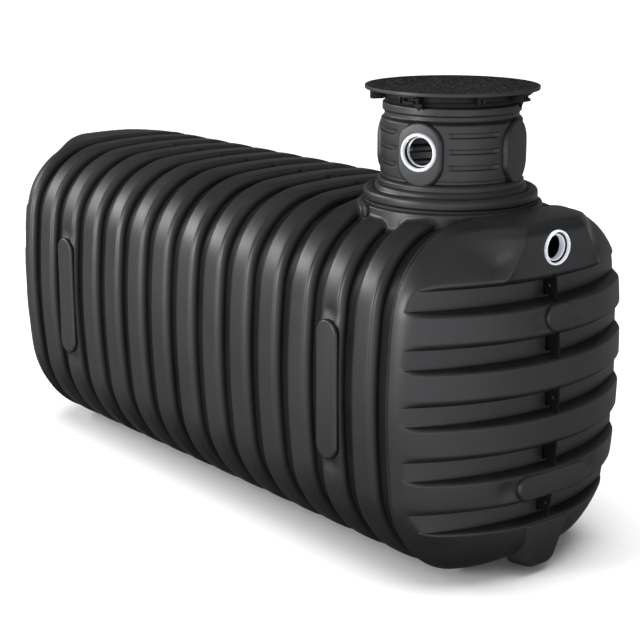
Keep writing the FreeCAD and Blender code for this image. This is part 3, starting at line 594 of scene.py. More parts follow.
def domeAt(y, z, halvings=40):
    low = np.zeros_like(y)
    high = np.full_like(y, endSkin["rise"])
    for _ in range(halvings):
        mid = (low + high) / 2
        across = bulge(halfWidth, endSkin["planBulge"], mid) / halfWidth
        up = bulge(middle, endSkin["sideBulge"], mid)
        rising = np.sin(math.pi * np.clip(mid / endSkin["liftReach"], 0.0, 1.0))
        lift = endSkin["lift"] * rising  # the underside rises outwards
        up = np.where(z < middle, up - lift, up) / middle
        inside = np.abs(y) / across < halfAt(middle + (z - middle) / up, endSkin["drop"])
        low = np.where(inside, mid, low)
        high = np.where(inside, high, mid)
    return domeStart + low


def grooveRadius():  # plan radius of a groove's floor
    tip = float(domeAt(np.array([endSkin["reach"]]), np.array([tank["widest"]]))[0]) - domeStart
    sag = endSkin["rise"] - endSkin["depth"] - tip
    return (endSkin["reach"] ** 2 + sag**2) / (2 * sag)


floorRadius = grooveRadius()


def padHalf(z):  # half width of the flat pipe pad at a height
    share = np.clip((z - endSkin["firstTop"]) / (pipePad["top"] - endSkin["firstTop"]), 0.0, 1.0)
    return pipePad["lowHalf"] + (pipePad["topHalf"] - pipePad["lowHalf"]) * share


def padAt(y, z):
    face = np.full_like(y, padFace)
    first = endSkin["firstTop"]
    high = step(z, first + pipePad["steepTo"], first + pipePad["gentleFrom"])
    slope = pipePad["sideSteep"] + (pipePad["sideGentle"] - pipePad["sideSteep"]) * high
    beyond = np.abs(y) - padHalf(z)
    side = face - beyond * slope - np.maximum(beyond, 0.0) ** 2 * pipePad["sideCurve"]
    foot = face + (z - pipePad["low"]) * pipePad["footSlope"]
    roof = pipePad["roofCurve"] * np.maximum(z - pipePad["roofStart"], 0.0) ** 2
    return softMin(softMin(face, side, pipePad["edge"]), foot, pipePad["edge"]) - roof


def grooved(x, y, z, top):  # one groove with a round lip above, a ledge below and a pocket in its middle
    bottom = top - endSkin["groove"]
    crest = float(domeAt(np.array([0.0]), np.array([(top + bottom) / 2]))[0])
    axis = crest - endSkin["depth"] - floorRadius
    floor = axis + np.sqrt(np.maximum(floorRadius**2 - y**2, 0.0))
    lip = quarterRound((z - top + endSkin["lipFall"]) / endSkin["lipFall"])
    ledge = quarterRound((bottom + endSkin["ledgeRound"] - z) / endSkin["ledgeRound"])
    x = x - softMax(x - floor, np.zeros_like(x), endSkin["softEnd"]) * (1.0 - np.maximum(lip, ledge))
    half, edge = endSkin["pocketHalf"], endSkin["pocketEdge"]
    inY = 1.0 - step(np.abs(y), half - edge, half + edge)
    inZ = between(z, bottom + endSkin["pocketLow"], top - endSkin["pocketTop"], edge)
    return x - endSkin["pocketDepth"] * inY * inZ


def endAt(y, z):  # the grooved face of the end
    dome = domeAt(y, z)
    spread = step(z, endSkin["firstTop"] + pipePad["spreadFrom"], pipePad["top"])
    foot = pipePad["foot"] + pipePad["footSpread"] * spread
    proud = np.maximum(softMax(dome, padAt(y, z), foot) - dome, 0.0)
    x = dome + proud * step(dome, domeStart, domeStart + endSkin["rimKeep"])  # the rim stays on the section
    beyond = np.abs(y) - padHalf(z)
    beadLow = [pipePad["low"] + offset for offset in pipePad["beadStart"]]
    beadHigh = [pipePad["top"] + offset for offset in pipePad["beadStop"]]
    bead = np.exp(-((beyond / pipePad["beadWide"]) ** 2)) * step(z, *beadLow)  # along the pad's sides
    x = x + pipePad["bead"] * bead * (1.0 - step(z, *beadHigh))
    out = (beyond - pipePad["valleyOut"]) / pipePad["valleyWide"]
    up = (z - pipePad["valleyHeight"]) / pipePad["valleyTall"]
    x = x - pipePad["valleyDeep"] * np.exp(-(out**2) - up**2)
    for top in grooveTops:
        x = grooved(x, y, z, top)
    for across, height, deep, wide in endSkin["dents"]:
        x = x - deep * np.exp(-((np.abs(y) - across) ** 2 + (z - height) ** 2) / wide**2)
    return x


# where the end's grid has its lines: columns out from the middle, rows down from the top
endGrid = {
    "middle": (0.0, 0.006), "pocket": (-0.004, -0.002, 0.0, 0.002, 0.005), "field": (0.035, 0.055, 0.08),
    "inner": (0.106, -0.02, 8), "outer": (0.062, 0.5, 6), "rimColumns": 22, "followFrom": 0.45,
    "padEdge": (-0.012, -0.008, -0.004, 0.0, 0.004, 0.008, 0.014, 0.022, 0.030, 0.038, 0.048),
    "capRows": 40, "straightFrom": 0.97, "roundStep": 9, "nearPocket": (0.004, 0.0, -0.004),
    "aboveLip": (0.048, 0.034, 0.022, 0.012, 0.005), "belowLip": (-0.010, -0.022, -0.036),
    "belowLedge": (-0.006, -0.013, -0.022, -0.034),
}


def endColumns():  # half of the columns, close together at the pocket, the pad's edge and the rim
    edge = pipePad["lowHalf"]
    columns = list(endGrid["middle"])
    columns += [endSkin["pocketHalf"] + offset for offset in endGrid["pocket"]]
    columns += list(endGrid["field"])
    first, last, count = endGrid["inner"]
    columns += list(np.linspace(first, edge + last, count))
    columns += [edge + offset for offset in endGrid["padEdge"]]
    first, last, count = endGrid["outer"]
    columns += list(np.linspace(edge + first, last, count))
    rim = halfWidth - endSkin["drop"]
    start = rim - columns[-1]
    columns += [rim - start * (1 - math.sin(turn)) for turn in quarterSteps(endGrid["rimColumns"], 1)]
    return np.array(columns)


def endRows():  # heights of the rows across the bands, from the top one down
    rows = []
    turns = [math.cos(math.radians(angle)) for angle in range(0, 91, endGrid["roundStep"])]
    for top in grooveTops:
        bottom = top - endSkin["groove"]
        rows += [top + offset for offset in endGrid["aboveLip"]]
        rows += [top - endSkin["lipFall"] * turn for turn in turns]
        rows += [top - endSkin["pocketTop"] + offset for offset in endGrid["nearPocket"]]
        rows += [top - endSkin["lipFall"] + offset for offset in endGrid["belowLip"]]
        rows += [bottom + endSkin["pocketLow"] + offset for offset in endGrid["nearPocket"]]
        rows += [bottom + endSkin["ledgeRound"] * turn for turn in turns]
        rows += [bottom + offset for offset in endGrid["belowLedge"]]
    return np.array(sorted(rows, reverse=True))


def followPad(y, z, share):  # columns lean with the pad's edge above the first groove
    size = np.abs(y)
    edge = padHalf(z)
    low, far = pipePad["lowHalf"], pipePad["fadeOut"]
    inner = size * edge / low
    outer = edge + (size - low) * (far - edge) / (far - low)
    leaned = np.where(size < low, inner, np.where(size < far, outer, size))
    keep = step(share, endGrid["straightFrom"], 1.0)
    return np.sign(y) * (leaned * (1 - keep) + size * keep)


def makeEndSkin(name):
    half = endColumns()
    base = np.concatenate((-half[:0:-1], half))
    rows = endRows()
    drop = endSkin["drop"]
    rim = halfWidth - drop
    follow = step(np.abs(base), endGrid["followFrom"], rim)
    capSteps = [math.sin(turn) for turn in quarterSteps(endGrid["capRows"], 1)]
    ys, zs = [], []
    edgeRow = np.sign(base) * (np.abs(base) + (halfAt(rows[:1], drop)[0] - rim) * follow)
    for share in reversed(capSteps):
        height = rows[0] + (topAt(edgeRow, drop) - rows[0]) * share
        ys.append(followPad(edgeRow, height, np.full_like(height, share)))
        zs.append(height)
    for height in rows:
        wide = halfAt(np.array([height]), drop)[0]
        row = np.sign(base) * (np.abs(base) + (wide - rim) * follow)
        flat = np.full_like(base, height)
        ys.append(followPad(row, flat, np.zeros_like(row)))
        zs.append(flat)
    lastRow = ys[-1]
    for share in capSteps:
        ys.append(lastRow)
        zs.append(rows[-1] + (bottomAt(lastRow, drop) - rows[-1]) * share)
    y, z = np.array(ys), np.array(zs)
    points = np.stack((endAt(y, z), y, z), axis=-1).reshape(-1, 3).tolist()
    piece = newPiece(name, points, gridFaces(*y.shape))
    cleanNormals(piece)
    addThickness(piece, endSkin["wall"])
    return piece


roundPad = {"height": 1.240, "radius": 0.066, "straight": 0.016, "back": 0.006}
longPad = {"height": 0.476, "radius": 0.060, "straight": 0.162, "back": 0.006}
endPads = {"deep": 0.050, "edge": 0.011}
endFoot = {
    "high": 0.284, "low": 0.044, "topHalf": 0.135, "lowHalf": 0.085, "topBack": 0.030, "lowBack": 0.079,
    "deep": 0.10, "flare": 0.03, "corner": 0.045, "edge": 0.012,
}


def makeEndPad(height, radius, straight, back):  # nearly a disc, or a long tongue
    pad = tongue(radius, endPads["deep"], straight, facingX, Vector((0.0, 1.0, 0.0)), endPads["edge"])
    return move(pad, place=(domeTip - back - endPads["deep"] / 2, 0.0, height))


def makeFoot():
    low, high, flare = endFoot["low"], endFoot["high"], endFoot["flare"]
    lowFront, topFront = domeTip - endFoot["lowBack"], domeTip - endFoot["topBack"]
    narrow, wide = endFoot["lowHalf"], endFoot["topHalf"]
    back = lowFront - endFoot["deep"]
    points = [(lowFront, -narrow, low), (lowFront, narrow, low)]
    points += [(topFront, wide, high), (topFront, -wide, high)]
    points += [(back, -narrow - flare, low), (back, narrow + flare, low)]
    points += [(back, wide + flare, high), (back, -wide - flare, high)]
    faces = [(0, 1, 2, 3), (7, 6, 5, 4), (0, 4, 5, 1), (1, 5, 6, 2), (2, 6, 7, 3), (3, 7, 4, 0)]
    foot = newPiece("foot", points, faces)
    cleanNormals(foot)
    underside = low + mergeWithin  # its two long edges get the big round
    selectEdges(foot, lambda one, two: max(one.z, two.z) < underside and abs(one.y - two.y) < narrow)
    bpy.ops.mesh.bevel(offset=endFoot["corner"], segments=8)
    objectMode()
    addBevel(foot, endFoot["edge"], segments=4)
    return foot


neckCut = {"inset": 0.012, "length": 0.4}


def neckTool():  # what the manway takes out of the barrel and the front end
    low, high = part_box("manway_neck")
    return roundTool(high.y - neckCut["inset"], neckCut["length"], ((low.x + high.x) / 2, 0.0, high.z))


def makeEnds():
    skin = makeEndSkin("frontEndSkin")
    cutWith(skin, holeTool(pipePad["hole"], (padFace, 0.0, sealHeight), facingX))
    pads = [makeEndPad(**roundPad), makeEndPad(**longPad), makeFoot()]
    rear = join([copyOf(skin)] + [copyOf(pad) for pad in pads])
    move(rear, turn=(0.0, 0.0, math.pi))
    cutWith(skin, neckTool())
    join([skin] + pads)
    placed(skin, "frontEndSkin", barrelPlastic, ["front_end"], smooth=50)
    placed(rear, "rearEndSkin", barrelPlastic, ["rear_end"], smooth=50)
    print("ends made:", len(skin.data.polygons), "faces on the front one")


makeEnds()

# barrel: one skin of round ribs, dented where the side pads end

ribs = {
    "flat": 0.030, "foot": 0.084, "crown": 2.6, "flank": 0.6, "wall": 0.004,
    "stepAt": 0.048, "stepWide": 0.005, "stepDeep": 0.0035,
    "dentDeep": 0.018, "dentAway": 0.028, "dentWide": 0.044, "dentTall": 0.032, "dentFacing": 0.8,
    "across": (0.0, 0.024, 0.042, 0.047, 0.0495, 0.0515, 0.053, 0.058, 0.064, 0.070, 0.076, 0.080,
               0.083, 0.0842, 0.0862, 0.098),
    "inside": (0.0, 0.056, 0.072, 0.080),
    "endGap": 0.001, "floorPoints": 5, "arcPoints": (18, 36, 18, 7),
    "panels": ("barrel_floor", "barrel_roof", "left_side", "right_side"),
    "corners": ("bottom_corner_low", "bottom_corner_high", "top_corner_low", "top_corner_high"),
    "grooveShadeStart": 0.060, "grooveShadeEnd": 0.088,
}
sidePad = {"half": 0.0715, "deep": 0.030, "edge": 0.012}
ribGrime = (tank["ribPitch"], ribs["grooveShadeStart"], ribs["grooveShadeEnd"])
# the rib skin's grooves get painted shade: a duller reflection between the crests
ribPlastic = moulded("ribPlastic", {**barrelLook, "grooveShadeMask": ribGrime})


def ribInset(x, wall=0.0):  # how far the wall lies under the crests at a place along the tank
    away = np.abs(x - tank["ribPitch"] * np.round(x / tank["ribPitch"])) + wall
    share = np.clip((away - ribs["flat"]) / (ribs["foot"] - ribs["flat"]), 0.0, 1.0)
    edge = ribs["stepDeep"] * step(away, ribs["stepAt"], ribs["stepAt"] + ribs["stepWide"]) * (1.0 - share)
    return tank["ribDepth"] * (1.0 - (1.0 - share ** ribs["crown"]) ** ribs["flank"]) + edge + wall


def ribPlaces(offsets):  # places along the barrel, from one end to the other
    pitch = tank["ribPitch"]
    count = int(round(domeStart / pitch))
    both = [side * offset for offset in offsets for side in (-1, 1)]
    xs = {round(n * pitch + offset, 5) for n in range(-count, count + 1) for offset in both}
    xs |= {round((n + 0.5) * pitch, 5) for n in range(-count, count)}
    onBarrel = {x for x in xs if abs(x) < domeStart - ribs["endGap"]}
    return np.array(sorted(onBarrel | {-domeStart, domeStart}))


def sectionLoop():  # centre, radius and angle of points round the section, from the middle of the floor
    corner, roof = section[0], section[3]
    start = -math.pi / 2
    floor = np.linspace(0.0, corner[0].x, ribs["floorPoints"])[:-1]
    half = [(Vector((y, corner[1])), corner[1], start) for y in floor]
    for (centre, radius, end), count in zip(section, ribs["arcPoints"]):
        half += [(centre, radius, angle) for angle in np.linspace(start, end, count)[:-1]]
        start = end
    half.append((roof[0], roof[1], math.pi / 2))
    other = [(Vector((-c.x, c.y)), r, math.pi - a) for c, r, a in half[-2:0:-1]]
    return half + other


def makeBarrel():
    outside = ribPlaces(ribs["across"])
    inside = ribPlaces(ribs["inside"])[::-1]  # the wall turns back inside and closes on its first ring
    x = np.concatenate((outside, inside, outside[:1]))
    depth = np.concatenate((ribInset(outside), ribInset(inside, ribs["wall"]), ribInset(outside[:1])))
    loop = sectionLoop()
    centre = np.array([tuple(c) for c, _, _ in loop])[:, None, :]
    radius = np.array([r for _, r, _ in loop])[:, None]
    angle = np.array([a for _, _, a in loop])[:, None]
    inset = np.repeat(depth[None, :], len(loop), axis=0)
    padLow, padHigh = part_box("side_pads")
    padX = padHigh.x - sidePad["half"]
    level = centre[:, :, 1] + radius * np.sin(angle)
    across = (np.abs(x)[None, :] - padX) / ribs["dentWide"]
    onSide = np.abs(np.cos(angle)) > ribs["dentFacing"]
    for end in (padLow.z - ribs["dentAway"], padHigh.z + ribs["dentAway"]):
        up = (level - end) / ribs["dentTall"]
        inset = inset + ribs["dentDeep"] * onSide * np.exp(-(across**2) - up**2)
    y = centre[:, :, 0] + (radius - inset) * np.cos(angle)
    z = centre[:, :, 1] + (radius - inset) * np.sin(angle)
    grid = np.stack((np.repeat(x[None, :], len(loop), axis=0), y, z), axis=-1)
    points = np.swapaxes(grid, 0, 1).reshape(-1, 3).tolist()
    skin = newPiece("barrelSkin", points, gridFaces(len(x), len(loop), closed=True))
    cleanNormals(skin)
    cutWith(skin, neckTool())
    corners = [f"{side}_{corner}" for side in ("left", "right") for corner in ribs["corners"]]
    placed(skin, "barrelSkin", ribPlastic, [*ribs["panels"], *corners], smooth=60)
    print("barrel made:", len(skin.data.polygons), "faces")


def makeSidePads():  # tongues with round ends over the crests of two ribs
    low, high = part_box("side_pads")
    half, deep = sidePad["half"], sidePad["deep"]
    straight = (high.z - low.z) / 2 - half
    pad = tongue(half, deep, straight, facingY, Vector((0.0, 0.0, 1.0)), sidePad["edge"])
    row = []
    for x in (high.x - half, half - high.x):
        for y, turn in ((low.y + deep / 2, 0.0), (high.y - deep / 2, math.pi)):
            row.append(move(copyOf(pad), (x, y, (low.z + high.z) / 2), (0.0, 0.0, turn)))
    bpy.data.objects.remove(pad)
    placed(join(row), "sidePads", barrelPlastic, ["side_pads"])


makeBarrel()
makeSidePads()
print("side pads made")

# neck: a plain collar with a fillet where it grows out of the ribs, and three screw bosses

neck = {
    "wall": 0.028, "lip": 0.003, "topRound": 0.007, "roundSteps": 4, "fillet": 0.016, "filletSteps": 8,
    "skirtOut": 0.003, "skirtDrop": 0.006, "columns": 480,
}
boss = {
    "angles": (-16.0, 104.0, 224.0), "half": 0.016, "deep": 0.030, "tall": 0.055, "sunk": 0.012,
    "below": 0.001, "edge": 0.008, "hole": 0.0065, "holeDeep": 0.06, "holeOut": 0.004,
}
turretX = (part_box("lid_plate")[0].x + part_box("lid_plate")[1].x) / 2


def barrelAt(x, y):  # height of the barrel, or of the end beyond it
    reach = np.clip(x - domeStart, 0.0, endSkin["rise"])
    up = bulge(middle, endSkin["sideBulge"], reach) / middle
    inset = np.where(x < domeStart, ribInset(x), endSkin["drop"])
    return middle + (topAt(y, inset) - middle) * up


def makeNeck():
    low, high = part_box("manway_neck")
    outer, top = high.y, high.z
    inner, lip, topRound, fillet = outer - neck["wall"], neck["lip"], neck["topRound"], neck["fillet"]
    angles = np.linspace(0.0, 2 * math.pi, neck["columns"], endpoint=False)
    rings = [(inner, low.z), (inner, top - lip), (inner + lip, top), (outer - topRound, top)]
    for turn in quarterSteps(neck["roundSteps"], 1):
        rings.append((outer - topRound * (1 - math.sin(turn)), top - topRound * (1 - math.cos(turn))))
    rows = [(radius, np.full_like(angles, height)) for radius, height in rings]
    for turn in quarterSteps(neck["filletSteps"]):
        radius = outer + fillet * (1 - math.cos(turn))
        ground = barrelAt(turretX + radius * np.cos(angles), radius * np.sin(angles))
        rows.append((radius, np.minimum(ground + fillet * (1 - math.sin(turn)), top - topRound)))
    rows.append((rows[-1][0] + neck["skirtOut"], rows[-1][1] - neck["skirtDrop"]))
    points = []
    for radius, height in rows:
        ring = (turretX + radius * np.cos(angles), radius * np.sin(angles), height)
        points += np.stack(ring, axis=-1).tolist()
    collar = newPiece("neckCollar", points, gridFaces(len(rows), neck["columns"], closed=True))
    cleanNormals(collar)
    placed(collar, "neckCollar", barrelPlastic, ["manway_neck"], smooth=60)


def makeBosses():
    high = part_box("manway_neck")[1]
    half, back, top = boss["half"], boss["sunk"] - high.y, high.z
    block = blockAt((-half, back - boss["deep"], top - boss["tall"]), (half, back, top - boss["below"]))
    addBevel(block, boss["edge"], segments=4)
    cutWith(block, roundTool(boss["hole"], boss["holeDeep"], (0.0, -high.y - boss["holeOut"], top)))
    for number, angle in enumerate(boss["angles"]):
        twin = move(copyOf(block), (turretX, 0.0, 0.0), (0.0, 0.0, math.radians(angle)))
        placed(twin, f"neckBoss{number + 1}", barrelPlastic)
    bpy.data.objects.remove(block)


makeNeck()
makeBosses()
print("neck made")

# turret: a beaded wall whose beads stop short of four flat pads

turret = {
    "radius": 0.325, "wall": 0.013, "columns": 288, "sealHeight": 1.925, "sealHole": 0.0785,
    "profile": ((1.752, 0.338), (1.771, 0.338), (1.782, 0.327),
                (2.046, 0.325), (2.062, 0.309), (2.080, 0.309)),
    "bendSoft": 0.004, "bendRows": (-0.006, -0.004, -0.002, 0.0, 0.002, 0.004, 0.006),
    "padAngle": 20.5, "padReach": 0.333, "padHalf": 0.112, "padLow": 1.762, "padHigh": 2.062,
    "padDeep": 0.040, "padEdge": 0.017,
    "beads": ((1.848, 1.869), (1.920, 1.940), (1.991, 2.012)), "beadFade": (0.128, 0.160),
    "lowBead": (1.781, 1.798), "lowFade": (0.02, 0.05), "beadDepth": 0.009, "beadSoft": 0.0025,
    "beadRows": (-0.004, -0.002, -0.001, 0.0, 0.001, 0.002, 0.004),
}
facing = math.radians(turret["padAngle"])


def turretRadius(z, away):  # away is the distance along the wall from the middle of the nearest pad
    heights, radii = zip(*turret["profile"])
    spread = np.linspace(-turret["bendSoft"], turret["bendSoft"], 9)
    radius = np.mean([np.interp(z + offset, heights, radii) for offset in spread], axis=0)
    beads = [(bead, turret["beadFade"]) for bead in turret["beads"]]
    for bead, fade in (*beads, (turret["lowBead"], turret["lowFade"])):
        radius = radius - turret["beadDepth"] * between(z, *bead, turret["beadSoft"]) * step(away, *fade)
    return radius


def makeTurretWall():
    low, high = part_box("turret_shell")
    marks = [low.z, high.z]
    for height, _ in turret["profile"]:
        marks += [height + offset for offset in turret["bendRows"]]
    for bead in (*turret["beads"], turret["lowBead"]):
        for height in bead:
            marks += [height + offset for offset in turret["beadRows"]]
    heights = np.array(sorted({round(mark, 4) for mark in marks if low.z <= mark <= high.z}))
    angles = np.linspace(0.0, 2 * math.pi, turret["columns"], endpoint=False)
    quarter = math.pi / 2
    away = np.abs(angles - quarter * np.round(angles / quarter)) * turret["radius"]
    points = []
    for height in heights:
        flat = np.full_like(angles, height)
        radius = turretRadius(flat, away)
        points += np.stack((radius * np.sin(angles), -radius * np.cos(angles), flat), axis=-1).tolist()
    wall = newPiece("turretWall", points, gridFaces(len(heights), turret["columns"], closed=True))
    cleanNormals(wall)
    addThickness(wall, turret["wall"])
    cutWith(wall, holeTool(turret["sealHole"], (0.0, -turret["radius"], turret["sealHeight"]), facingY))
    half, deep, reach = turret["padHalf"], turret["padDeep"], turret["padReach"]
    straight = (turret["padHigh"] - turret["padLow"]) / 2 - half
    pad = tongue(half, deep, straight, facingY, Vector((0.0, 0.0, 1.0)), turret["padEdge"], segments=6)
    move(pad, (0.0, -reach + deep / 2, (turret["padLow"] + turret["padHigh"]) / 2))
    pads = [move(copyOf(pad), turn=(0.0, 0.0, quarter * n)) for n in range(1, 4)]
    cutWith(pad, holeTool(turret["sealHole"], (0.0, -reach, turret["sealHeight"]), facingY))
    join([wall, pad] + pads)
    move(wall, (turretX, 0.0, 0.0), (0.0, 0.0, facing))
    placed(wall, "turretWall", turretPlastic, ["turret_shell"], smooth=40)


makeTurretWall()
print("turret wall made")

# flange: a fat rolled rim, a shallow trough and a stepped foot under the wall

flange = {
    "inner": 0.332, "lowRound": 0.012, "roundSteps": 4,
    "roll": 0.022, "rollHigh": 0.053, "rollTurn": 150, "rollSteps": 12,
    "foot": 0.351, "trough": ((0.006, -0.014), (0.001, -0.010), (0.0, 0.004), (-0.003, 0.012)),
    "shoulder": ((-0.010, -0.001), (-0.014, 0.0)),
}


def makeFlange():
    low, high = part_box("turret_flange")
    outer, base, top = high.y, low.z, high.z
    rollTop = base + flange["rollHigh"]
    inner, foot, roll, lowRound = flange["inner"], flange["foot"], flange["roll"], flange["lowRound"]
    profile = [(inner, base), (outer - lowRound, base)]
    for turn in quarterSteps(flange["roundSteps"], 1):
        profile.append((outer - lowRound * (1 - math.sin(turn)), base + lowRound * (1 - math.cos(turn))))
    for n in range(flange["rollSteps"] + 1):
        turn = math.radians(flange["rollTurn"]) * n / flange["rollSteps"]
        profile.append((outer - roll * (1 - math.cos(turn)), rollTop - roll * (1 - math.sin(turn))))
    profile += [(foot + out, rollTop + up) for out, up in flange["trough"]]
    profile += [(foot + out, top + up) for out, up in flange["shoulder"]]
    ring = spun("turretFlange", profile + [(inner, top)], steps=160)
    move(ring, (turretX, 0.0, 0.0))
    placed(ring, "turretFlange", turretPlastic, ["turret_flange"], smooth=50)


makeFlange()
print("flange made")

# lid: a stippled plate with a plain rim, a stepped frame, brackets with latches, slotted lugs

lid = {
    "rim": 0.012, "rimSlope": 0.001, "field": 0.0016, "edge": 0.0045, "underEdge": 0.02,
    "frame": ((0.282, 2.096), (0.294, 2.096), (0.294, 2.124), (0.308, 2.124), (0.308, 2.144),
              (0.326, 2.144), (0.330, 2.148), (0.330, 2.180), (0.282, 2.180)),
}
fitting = {
    "edge": 0.002, "near": -0.388, "far": -0.331, "over": 0.01,
    "bracketHalf": 0.046, "lugHalf": 0.017, "bracketTurn": -5.0, "lugTurn": 45.0,
    "latchHalf": 0.018, "latchDrop": 0.032, "latchStraight": 0.012, "latchThick": 0.014,
    # from and to along the rim, how far in, from and to above the base
    "bracketNotches": ((-0.018, 0.056, 0.020, 0.012, 0.026), (-0.036, -0.024, 0.012, -0.01, 0.028),
                       (0.030, 0.056, 0.016, -0.01, 0.030)),
    "lugNotches": ((-0.003, 0.003, 0.015, -0.01, 0.030),),
}


def makeLidPlate():
    low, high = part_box("lid_plate")
    radius, top, under = high.y, high.z, low.z
    field, rim = top - lid["field"], radius - lid["rim"]
    profile = [
        (0.0, field), (rim - lid["rimSlope"], field), (rim, top),
        (radius, top), (radius, under), (radius - lid["underEdge"], under), (0.0, under),
    ]
    plate = spun("lidPlate", profile, steps=160, loop=False)
    addBevel(plate, lid["edge"], segments=3, angle=50)
    placed(move(plate, (turretX, 0.0, 0.0)), "lidPlate", lidPlastic, ["lid_plate"])
    plate.data.materials.append(turretPlastic)  # the rim is smooth
    for face in plate.data.polygons:
        face.material_index = int(math.hypot(face.center.x - turretX, face.center.y) > rim)
    ring = spun("lidFrame", lid["frame"], steps=128)
    addBevel(ring, fitting["edge"], segments=2, angle=40)
    # the frame gets the darker plastic as painted shade under the lid
    placed(move(ring, (turretX, 0.0, 0.0)), "lidFrame", underLidShadePlastic, ["lid_frame"])


def notchedBlock(half, base, under, notches):
    near, over = fitting["near"], fitting["over"]
    block = blockAt((-half, near, base), (half, fitting["far"], under))
    for left, right, deep, low, high in notches:
        cutWith(block, blockAt((left, near - over, base + low), (right, near + deep, base + high)))
    return block


def fourRound(piece, name, node, turn=0.0):  # one by each pad of the turret, or turned away from it
    addBevel(piece, fitting["edge"], segments=2, angle=40)
    ring = ringOf(piece, 4)
    move(ring, (turretX, 0.0, 0.0), (0.0, 0.0, math.radians(turret["padAngle"] + turn)))
    placed(ring, name, underLidShadePlastic, [node])


def makeLidFittings():
    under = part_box("lid_plate")[0].z
    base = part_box("lid_brackets")[0].z
    bracket = notchedBlock(fitting["bracketHalf"], base, under, fitting["bracketNotches"])
    fourRound(bracket, "lidBrackets", "lid_brackets", fitting["bracketTurn"])
    lug = notchedBlock(fitting["lugHalf"], base, under, fitting["lugNotches"])
    fourRound(lug, "lidLugs", "lid_lugs", fitting["lugTurn"])
    wide, tip, low = fitting["latchHalf"], base - fitting["latchDrop"], base - fitting["latchStraight"]
    outline = ((-wide, base), (wide, base), (wide, low), (0.0, tip), (-wide, low))
    points = [(x, y, z) for y in (fitting["far"] - fitting["latchThick"], fitting["far"]) for x, z in outline]
    faces = [(0, 1, 2, 3, 4), (9, 8, 7, 6, 5)]
    faces += [(n, n + 5, (n + 1) % 5 + 5, (n + 1) % 5) for n in range(5)]
    latch = newPiece("lidLatches", points, faces)
    cleanNormals(latch)
    fourRound(latch, "lidLatches", "lid_latches")


makeLidPlate()
makeLidFittings()
print("lid made")

# pipe seals: a pale roll on the wall and a pale lip round the bore, with a black seat between them, whose
# black is painted shade in the deep gap

seal = {
    "rollHigh": 0.014, "sunk": 0.003, "lip": 0.0027, "paintedShadeSeat": 0.008, "shadeLiner": 0.0008,
    "arcSteps": 12, "columns": 96,
}
endSeal = {"bore": 0.055, "rim": 0.078, "roll": 0.0050, "lipBack": 0.007, "tail": 0.034}
turretSeal = {"bore": 0.063, "rim": 0.087, "roll": 0.0082, "lipBack": 0.022, "tail": 0.032}


def makeSeal(name, node, size, place, turn):
    bore, rim, roll, back, tail = (size[key] for key in ("bore", "rim", "roll", "lipBack", "tail"))
    lip, thin, base, sunk = seal["lip"], seal["shadeLiner"], back + seal["paintedShadeSeat"], seal["sunk"]
    near, far = bore + 2 * lip, rim - 2 * roll
    arc = [math.pi * (1 - n / seal["arcSteps"]) for n in range(seal["arcSteps"] + 1)]
    profile = [(rim - roll + roll * math.cos(a), seal["rollHigh"] * math.sin(a)) for a in arc]
    outer = spun(name, profile + [(rim, -sunk), (far, -sunk)], seal["columns"])
    profile = [(bore + lip + lip * math.cos(a), -back + lip * math.sin(a)) for a in arc]
    inner = spun(name, profile + [(near, -tail), (bore, -tail)], seal["columns"])
    placed(move(join([outer, inner]), place, turn), name, sealRubber, [node], smooth=50)
    # the seat joins the two rolls and is coloured black as painted shade in the gap
    channel = [
        (far - thin, -thin), (far - thin, thin - base), (near + thin, thin - base), (near + thin, -back),
        (near, -back), (near, -base), (far, -base), (far, -thin),
    ]
    paintedShadeSeat = spun(name, channel, seal["columns"])
    placed(move(paintedShadeSeat, place, turn), name + "PaintedShadeSeat", gasketAndShadeRubber)


sealX = turretX + turret["padReach"] * math.sin(facing)
sealY = -turret["padReach"] * math.cos(facing)
turnedBack = (0.0, -math.pi / 2, 0.0)
turretTurn = (math.pi / 2, 0.0, facing)
makeSeal("frontPipeSeal", "front_pipe_seal", endSeal, (padFace, 0.0, sealHeight), facingX)
makeSeal("rearPipeSeal", "rear_pipe_seal", endSeal, (-padFace, 0.0, sealHeight), turnedBack)
makeSeal("turretPipeSeal", "turret_pipe_seal", turretSeal, (sealX, sealY, turret["sealHeight"]), turretTurn)
print("seals made")

# stage

floorLook = {
    "size": 400.0, "dark": (0.912, 0.912, 0.912), "pale": (0.920, 0.920, 0.920), "patchSize": 0.8,
    "rough": 0.9, "specular": 0.1,
}
view = {
    "place": (6.40106, -5.0516, 2.99269), "forward": (-0.74789, 0.61268, -0.25550),
    "lens": 88.67, "sensor": 36.0,
}


def newThing(name, data, place):  # a camera or a lamp
    thing = bpy.data.objects.new(name, data)
    bpy.context.scene.collection.objects.link(thing)
    thing.location = place
    return thing


def aim(thing, forward):
    thing.rotation_mode = "QUATERNION"
    thing.rotation_quaternion = forward.to_track_quat("-Z", "Y")


def makeStage():
    bpy.ops.object.select_all(action="DESELECT")
    bpy.ops.mesh.primitive_plane_add(size=floorLook["size"])
    floor = bpy.context.object
    floor.name = "floor"
    paint = bpy.data.materials.new("paleFloor")
    paint.use_nodes = True
    tree = paint.node_tree
    shader = tree.nodes["Principled BSDF"]
    patches = addNoise(tree, objectPlace(tree), floorLook["patchSize"], detail=4.0)
    tone = addRange(tree, patches, *cloudBand, 0.0, 1.0)
    tree.links.new(mixColour(tree, tone, floorLook["dark"], floorLook["pale"]), shader.inputs["Base Color"])
    shader.inputs["Roughness"].default_value = floorLook["rough"]
    shader.inputs["Specular IOR Level"].default_value = floorLook["specular"]
    floor.data.materials.append(paint)
    floor.visible_glossy = False  # what the tank mirrors is the soft band of the studio
    floor.visible_shadow = False


